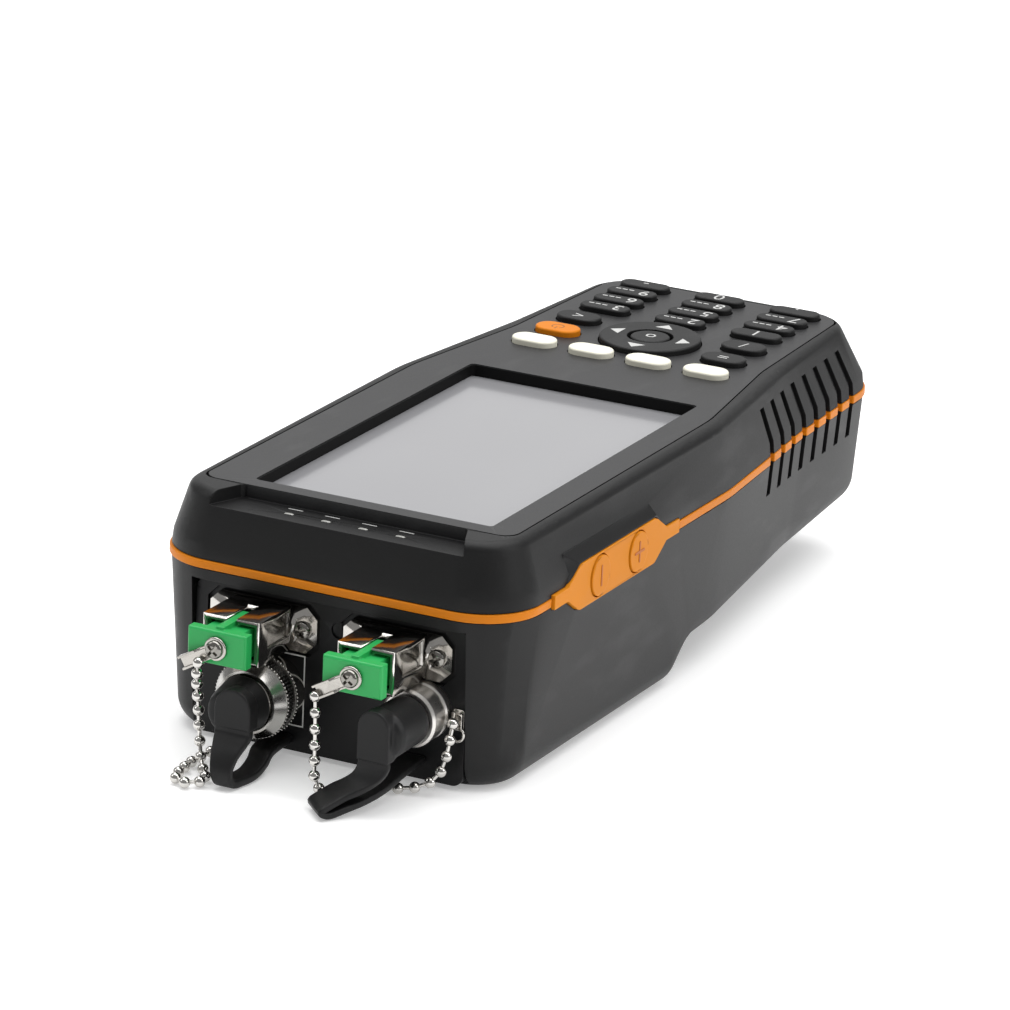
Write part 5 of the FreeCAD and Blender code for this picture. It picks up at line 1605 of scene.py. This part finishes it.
@dataclass
class PowerPort(CappedPort):
    """Power meter port: nose, knurled ring, cap and strap."""

    name: str = "opm"
    x: float = -12.8
    z: float = 13.8
    nut: float = 7.0
    shank: float = 5.4
    tip: float = 4.4
    tip_y: float = -13.2
    angle: float = 30.0
    cap_radius: float = 6.0
    cap_tip: float = 4.6
    cap_heel: tuple[Flat, ...] = ((0.0, 0.0), (-0.1, -0.9))
    cap_nose: tuple[Flat, ...] = ((0.5, 1.8), (0.0, 0.5), (-0.6, 0.0))
    cap_bore: float = 4.55
    cap_back_y: float = -9.2
    cap_front_y: float = -16.7
    tongue_x: float = -10.5
    tongue_width: float = 8.2
    tongue_low: float = 11.6
    tongue_top: float = 19.95
    strap_thick: float = 1.8
    route: tuple[Station, ...] = (
        (0.0, 0.0, 12.2, 0.0, 8.0), (0.0, -0.1, 10.4, 0.0, 8.2), (0.0, -1.6, 8.8, 0.0, 7.2),
        (0.0, -3.5, 6.9, 0.0, 5.8), (0.1, -4.8, 4.6, 0.0, 4.8), (0.3, -4.9, 2.7, 0.0, 4.4),
        (0.6, -3.8, 1.35, 0.0, 4.4), (1.1, -1.6, 1.1, 0.0, 4.4), (1.8, 3.0, 1.25, 0.0, 4.4),
        (1.6, 7.2, 2.3, 0.0, 4.6), (0.8, 11.0, 3.5, 0.0, 5.0), (0.0, 18.25, 3.6, 0.0, 5.4),
        (0.0, 19.95, 3.6, 0.0, 5.4))
    collar: float = 7.4
    collar_gap: float = 0.3
    nose_y: float = -8.9
    ring_back_y: float = -1.8
    grip_y: float = -6.5
    ring_front_y: float = -8.8
    ring_radius: float = 8.26
    ring_bore: float = 5.46
    cone_radius: float = 6.6
    ring_steps: int = 96
    ring_angle: float = 28.0
    row: float = 0.8
    row_middle: float = 0.45
    row_tooth: Flat = (0.42, 0.9)
    rim_back: tuple[Flat, ...] = ((-0.1, 0.0), (0.0, -0.15), (0.0, -0.75), (-0.3, -0.8))
    rim_front: tuple[Flat, ...] = ((-0.3, 0.8), (0.0, 0.75), (0.0, 0.1), (-0.12, 0.0))
    cone_lip: float = 0.5
    bore_edge: float = 0.6
    grip_floor: Flat = (0.26, 0.2)
    grip_tooth: Flat = (0.34, 4.6)
    grip_sink: float = 0.32
    teeth: int = 66
    tooth_sink: float = 0.02

    def build(self, knurl: Tree) -> None:
        """Make the pieces of the port.

        Args:
            knurl: the tree of the ring's teeth.
        """
        collar_y, edge_y = self.ring_back_y + self.collar_gap, self.nose_y + self.chamfer
        self.make_port(NICKEL, [
            (self.collar, PANEL_Y), (self.collar, collar_y), (self.shank, collar_y), (self.shank, edge_y),
            (self.shank - self.chamfer, self.nose_y), (self.tip, self.nose_y)])
        self._ring()
        self._teeth(knurl)
        self._grip_floor()
        self.make_cap()

    def _ring(self) -> None:
        """Ring with a conical face and a sunk grip between two rims."""
        r, bore, cone = self.ring_radius, self.ring_bore, self.cone_radius
        back, front = self.ring_back_y, self.ring_front_y
        rims = shifted(self.rim_back, r, back) + shifted(self.rim_front, r, self.grip_y)
        profile = [(bore, back), *rims, (cone, front), (cone - self.cone_lip, front),
                   (bore, front + self.bore_edge), (bore, back)]
        piece = turned("opm_ring_skin", CONE, profile, self.x, self.z, self.ring_steps, self.ring_angle)
        ride(piece, "opm_ring", "opm_ring")

    def _teeth(self, knurl: Tree) -> None:
        """Bright teeth on both rims, and teeth in the grip painted near-black: painted shade and painted
        reflection of the sunk grip.

        Args:
            knurl: the tree of the teeth.
        """
        r, back, grip = self.ring_radius, self.ring_back_y, self.grip_y
        rows = (("back", back - self.row_middle, self.row_tooth, BEAD, r),
                ("front", grip + self.row_middle, self.row_tooth, BEAD, r),
                ("middle", (back + grip) / 2, self.grip_tooth, KNURL_SHADE, r - self.grip_sink))
        for name, y, (tooth, length), finish, radius in rows:
            host = finished("knurl_place", bmesh.new(), finish)
            piece = knurl.grow(
                host, "opm_ring_teeth_" + name, finish, Count=self.teeth, Tooth=tooth * MM,
                Radius=(radius - self.tooth_sink) * MM, Length=length, Middle=at(self.x, y, self.z))
            ride(piece, "opm_ring")

    def _grip_floor(self) -> None:
        """Floor of the knurl, painted near-black: painted shade and painted reflection in the sunk grip."""
        sink, thick = self.grip_floor
        outer = self.ring_radius - sink
        inner = outer - thick
        back, grip = self.ring_back_y - self.row, self.grip_y + self.row
        profile = [(inner, back), (outer, back), (outer, grip), (inner, grip), (inner, back)]
        piece = turned("opm_ring_grip", KNURL_SHADE, profile, self.x, self.z, self.ring_steps, self.ring_angle)
        ride(piece, "opm_ring")


@dataclass
class LocatorPort(CappedPort):
    """Fault locator port: barrel, cap and strap."""

    name: str = "vfl"
    x: float = 21.9
    z: float = 16.2
    nut: float = 5.6
    shank: float = 3.6
    tip: float = 3.6
    tip_y: float = -12.6
    angle: float = 28.0
    cap_radius: float = 5.2
    cap_tip: float = 5.2
    cap_heel: tuple[Flat, ...] = ((-0.15, 0.0), (0.0, -0.6))
    cap_nose: tuple[Flat, ...] = ((0.0, 1.6), (-0.5, 0.5), (-1.2, 0.0))
    cap_bore: float = 3.75
    cap_back_y: float = -5.3
    cap_front_y: float = -17.0
    tongue_x: float = 21.4
    tongue_width: float = 7.0
    tongue_low: float = 11.2
    tongue_top: float = 22.0
    strap_thick: float = 1.4
    route: tuple[Station, ...] = (
        (0.0, 0.0, 11.8, 0.0, 6.8), (0.0, -0.1, 10.1, 0.0, 7.0), (-1.2, -0.4, 7.9, -12.0, 7.2),
        (-3.8, -0.9, 5.7, -28.0, 7.4), (-6.3, -2.0, 4.2, -38.0, 7.6), (-8.0, -4.4, 3.0, -42.0, 7.8),
        (-9.2, -6.5, 1.9, -45.0, 8.0), (-8.2, -5.0, 0.9, -44.0, 7.8), (-6.2, -2.2, 1.7, -38.0, 7.6),
        (-4.2, 1.5, 2.6, -28.0, 7.4), (-2.9, 6.0, 3.6, -16.0, 7.2), (-2.5, 12.0, 4.8, -6.0, 7.2),
        (-2.5, 18.95, 5.4, 0.0, 7.2), (-2.5, 20.15, 5.4, 0.0, 7.2))
    radius: float = 6.1
    front_y: float = -5.0
    front_round: float = 0.5
    groove: tuple[Flat, ...] = ((0.0, 0.6), (-0.35, 0.3), (-0.35, -0.5), (0.0, -0.8))

    def build(self) -> None:
        """Make the pieces of the port."""
        r, front = self.radius, self.front_y
        outer = [(r, PANEL_Y), *shifted(self.groove, r, 0.0), (r, front + self.front_round),
                 (r - self.front_round, front), (self.shank, front)]
        self.make_port(BARREL, outer)
        self.make_cap()


@dataclass
class BallChain:
    """Ball chain from a plug's tab to its anchor on the panel."""

    side: str
    route: tuple[Point, ...]
    bead: float = 2.4
    pitch: float = 3.2
    wire: float = 0.42
    panel_end_y: float = -4.0
    plug_end_y: float = -16.0

    def build(self, beads: Tree) -> None:
        """Args:
            beads: the tree of the beads.
        """
        curve = bpy.data.curves.new("chain_route_" + self.side, "CURVE")
        curve.dimensions = "3D"
        curve.resolution_u = 16
        spline = curve.splines.new("NURBS")
        spline.points.add(len(self.route) - 1)
        for point, spot in zip(spline.points, self.route):
            point.co = (*at(*spot), 1.0)
        spline.order_u = 3
        spline.use_endpoint_u = True
        host = placed("chain_route_" + self.side, curve)
        line = evaluated(host)
        bpy.data.meshes.remove(line)
        piece = beads.grow(host, "chain_%s_beads" % self.side, BEAD, Pitch=self.pitch * MM,
                           Bead_Radius=self.bead / 2 * MM, Wire_Radius=self.wire * MM)
        start, end = at(0, self.panel_end_y, 0), at(0, self.plug_end_y, 0)
        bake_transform(piece)
        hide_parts("chain_" + self.side)


@dataclass
class ChainAnchors:
    """Clips and rings that hold the chains to the panel."""

    places: tuple[Flat, ...] = ((-23.2, 10.4), (29.7, 15.4))
    foot: Point = (2.4, 4.6, 0.5)
    foot_top: float = 0.35
    lug: Point = (0.85, 3.6, 0.3)
    lug_x: float = 0.75
    lug_top: float = 1.2
    corner_steps: int = 3
    ring_drop: float = 2.9
    ring_out: float = 0.8
    ring_radius: float = 1.5
    ring_steps: int = 24
    wire: float = 0.32
    wire_steps: int = 8
    angle: float = 30.0
    edge_mm: float = 0.08

    def build(self) -> None:
        """Make a foot with two upright lugs and a small ring at each place."""
        foot, lug = (rounded(*size, self.corner_steps) for size in (self.foot, self.lug))
        bm = bmesh.new()
        for x, z in self.places:
            slab(bm, foot, 0.0, self.foot_top, partial(panel_point, x, z))
            for dx in (-self.lug_x, self.lug_x):
                slab(bm, lug, self.foot_top, self.lug_top, partial(panel_point, x + dx, z))
            self._ring(bm, x, z - self.ring_drop)
        piece = shade(closed("chain_anchor_clips", bm, NICKEL), self.angle)
        ride(soften(piece, self.edge_mm), stands_for="chain_anchors")

    def _ring(self, bm: BMesh, x: float, z: float) -> None:
        """Wire ring that hangs from the lugs.

        Args:
            bm: the mesh that takes the faces.
            x: its middle's x.
            z: its middle's z.
        """
        place = partial(panel_point, x, z)
        turn = [FULL_TURN * k / self.wire_steps for k in range(self.wire_steps)]
        section = [(self.ring_radius + self.wire * math.cos(b), self.ring_out + self.wire * math.sin(b))
                   for b in turn]
        rings = []
        for i in range(self.ring_steps + 1):
            a = FULL_TURN * i / self.ring_steps
            rings.append([bm.verts.new(place(r * math.cos(a), r * math.sin(a), w)) for r, w in section])
        join_rings(bm, rings)


# Routes from the tab of a plug to its anchor on the panel
CHAIN_LEFT = BallChain("left", (
    (-18.2, -19.0, 24.4), (-19.2, -17.8, 21.4), (-20.2, -15.6, 17.6), (-20.4, -14.5, 13.4),
    (-20.3, -14.3, 9.0), (-19.7, -14.8, 5.0), (-18.4, -16.4, 2.2), (-16.4, -18.8, 1.3),
    (-14.5, -21.3, 1.3), (-14.4, -24.0, 1.3), (-16.1, -25.9, 1.3), (-18.6, -25.8, 1.3),
    (-20.3, -23.8, 1.3), (-20.9, -20.4, 1.3), (-21.4, -16.4, 1.3), (-21.5, -12.4, 1.3),
    (-20.6, -8.6, 1.4), (-20.4, -5.4, 2.6), (-21.6, -2.4, 5.8), (-23.0, -1.0, 8.6),
    (-23.2, -0.4, 10.4)))
CHAIN_RIGHT = BallChain("right", (
    (8.0, -18.3, 22.4), (8.2, -18.4, 20.2), (8.4, -18.6, 14.6), (8.5, -18.6, 8.2), (8.2, -18.0, 3.4),
    (9.6, -15.6, 1.4), (13.0, -11.6, 1.3), (16.8, -7.9, 1.3), (21.2, -4.9, 1.3), (25.2, -3.2, 1.9),
    (28.4, -2.4, 4.8), (29.6, -1.8, 9.6), (29.7, -0.4, 15.4)))


@dataclass(frozen=True)
class SoftBox:
    """Soft light, with its spot, target and size in metres and its power in watts."""

    name: str
    spot: Point
    target: Point
    width: float
    length: float
    power: float

    def build(self) -> None:
        """Add the light."""
        light = bpy.data.lights.new(self.name, "AREA")
        light.shape = "RECTANGLE"
        light.size = self.width
        light.size_y = self.length
        light.energy = self.power
        obj = placed(self.name, light)
        obj.location = self.spot
        obj.rotation_euler = (Vector(self.target) - Vector(self.spot)).to_track_quat("-Z", "Y").to_euler()


@dataclass
class Studio:
    """Pale floor, soft lights and the camera."""

    focal_px: float = 6000.0
    frame_px: float = 1010.0
    sensor: float = 36.0
    far_clip: float = 50.0
    eye: Point = (529.5, -1003.0, 433.8)
    right: Point = (0.8913, 0.4514, 0.0418)
    up: Point = (-0.1779, 0.2635, 0.9481)
    floor_half: float = 6.0
    floor_levels: Flat = (-0.02, -0.00005)
    floor_colour: Colour = (0.86, 0.86, 0.86)
    floor_rough: float = 0.8
    floor_glow: float = 0.3
    world_strength: float = 0.33
    lights: tuple[SoftBox, ...] = (
        SoftBox("top_light", (0.0, 0.25, 1.3), (0.0, 0.05, 0.0), 1.8, 1.4, 26.0),
        SoftBox("right_light", (1.4, 0.1, 0.8), (0.0, 0.05, 0.03), 0.9, 0.9, 6.6),
        SoftBox("left_light", (-1.2, -0.5, 0.9), (0.0, 0.0, 0.03), 0.7, 0.7, 3.0),
        SoftBox("back_light", (-0.9, 2.0, 0.9), (0.0, 0.05, 0.04), 3.2, 1.6, 9.0))

    def build(self) -> None:
        """Set the floor, the lights and the camera."""
        self._floor()
        self._world()
        for light in self.lights:
            light.build()
        self._camera()
        bpy.context.scene.view_settings.view_transform = "Standard"

    def _floor(self) -> None:
        """Large pale floor at the height the meter rests on."""
        half = self.floor_half
        bm = bmesh.new()
        slab(bm, [(-half, -half), (half, -half), (half, half), (-half, half)], *self.floor_levels,
             lambda u, v, w: Vector((u, v, w)))
        floor = closed("floor", bm, Ink("pale_floor", self.floor_colour, self.floor_rough))
        shader = floor.data.materials[0].node_tree.nodes["Principled BSDF"]
        shader.inputs["Emission Color"].default_value = (1.0, 1.0, 1.0, 1.0)
        shader.inputs["Emission Strength"].default_value = self.floor_glow

    def _world(self) -> None:
        """Even pale surroundings."""
        world = bpy.data.worlds.new("surroundings")
        world.use_nodes = True
        background = world.node_tree.nodes["Background"]
        background.inputs["Color"].default_value = (1.0, 1.0, 1.0, 1.0)
        background.inputs["Strength"].default_value = self.world_strength
        bpy.context.scene.world = world

    def _camera(self) -> None:
        """Camera at the photograph's viewing angle."""
        data = bpy.data.cameras.new("camera")
        data.sensor_fit = "HORIZONTAL"
        data.sensor_width = self.sensor
        data.lens = self.sensor * self.focal_px / self.frame_px
        data.clip_end = self.far_clip
        camera = placed("camera", data)
        right = Vector(self.right).normalized()
        up = Vector(self.up)
        up = (up - right * up.dot(right)).normalized()
        turn = Matrix((right, up, right.cross(up))).transposed().to_4x4()
        camera.matrix_world = Matrix.Translation(at(*self.eye)) @ turn
        bpy.context.scene.camera = camera


def dress_nodes(frame: Frame) -> None:
    """Give the CAD nodes that stay in view their finishes.
    """
    for node, finish in NODE_FINISHES.items():
        mesh = frame["nodes"][node].data
        mesh.materials.clear()
        mesh.materials.append(finish.material())


def main() -> None:
    """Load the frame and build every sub-assembly."""
    logging.basicConfig(level=logging.INFO, format="%(message)s")
    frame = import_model()
    dress_nodes(frame)
    copies, beads, knurl = scatter_tree(), bead_tree(), knurl_tree()
    Studio().build()
    for chain in (CHAIN_LEFT, CHAIN_RIGHT):
        chain.build(beads)
    ChainAnchors().build()
    Casing().build(frame)
    LampLedge().build(copies)
    Keypad().build(frame)
    SideKeys().build(frame)
    ConnectorPanel().build(frame)
    for side in ADAPTER_X:
        FibreAdapter(side).build(frame)
    AdapterScrews().build(copies)
    PowerPort().build(knurl)
    LocatorPort().build()
    bpy.context.view_layer.update()


if __name__ == "__main__":
    main()
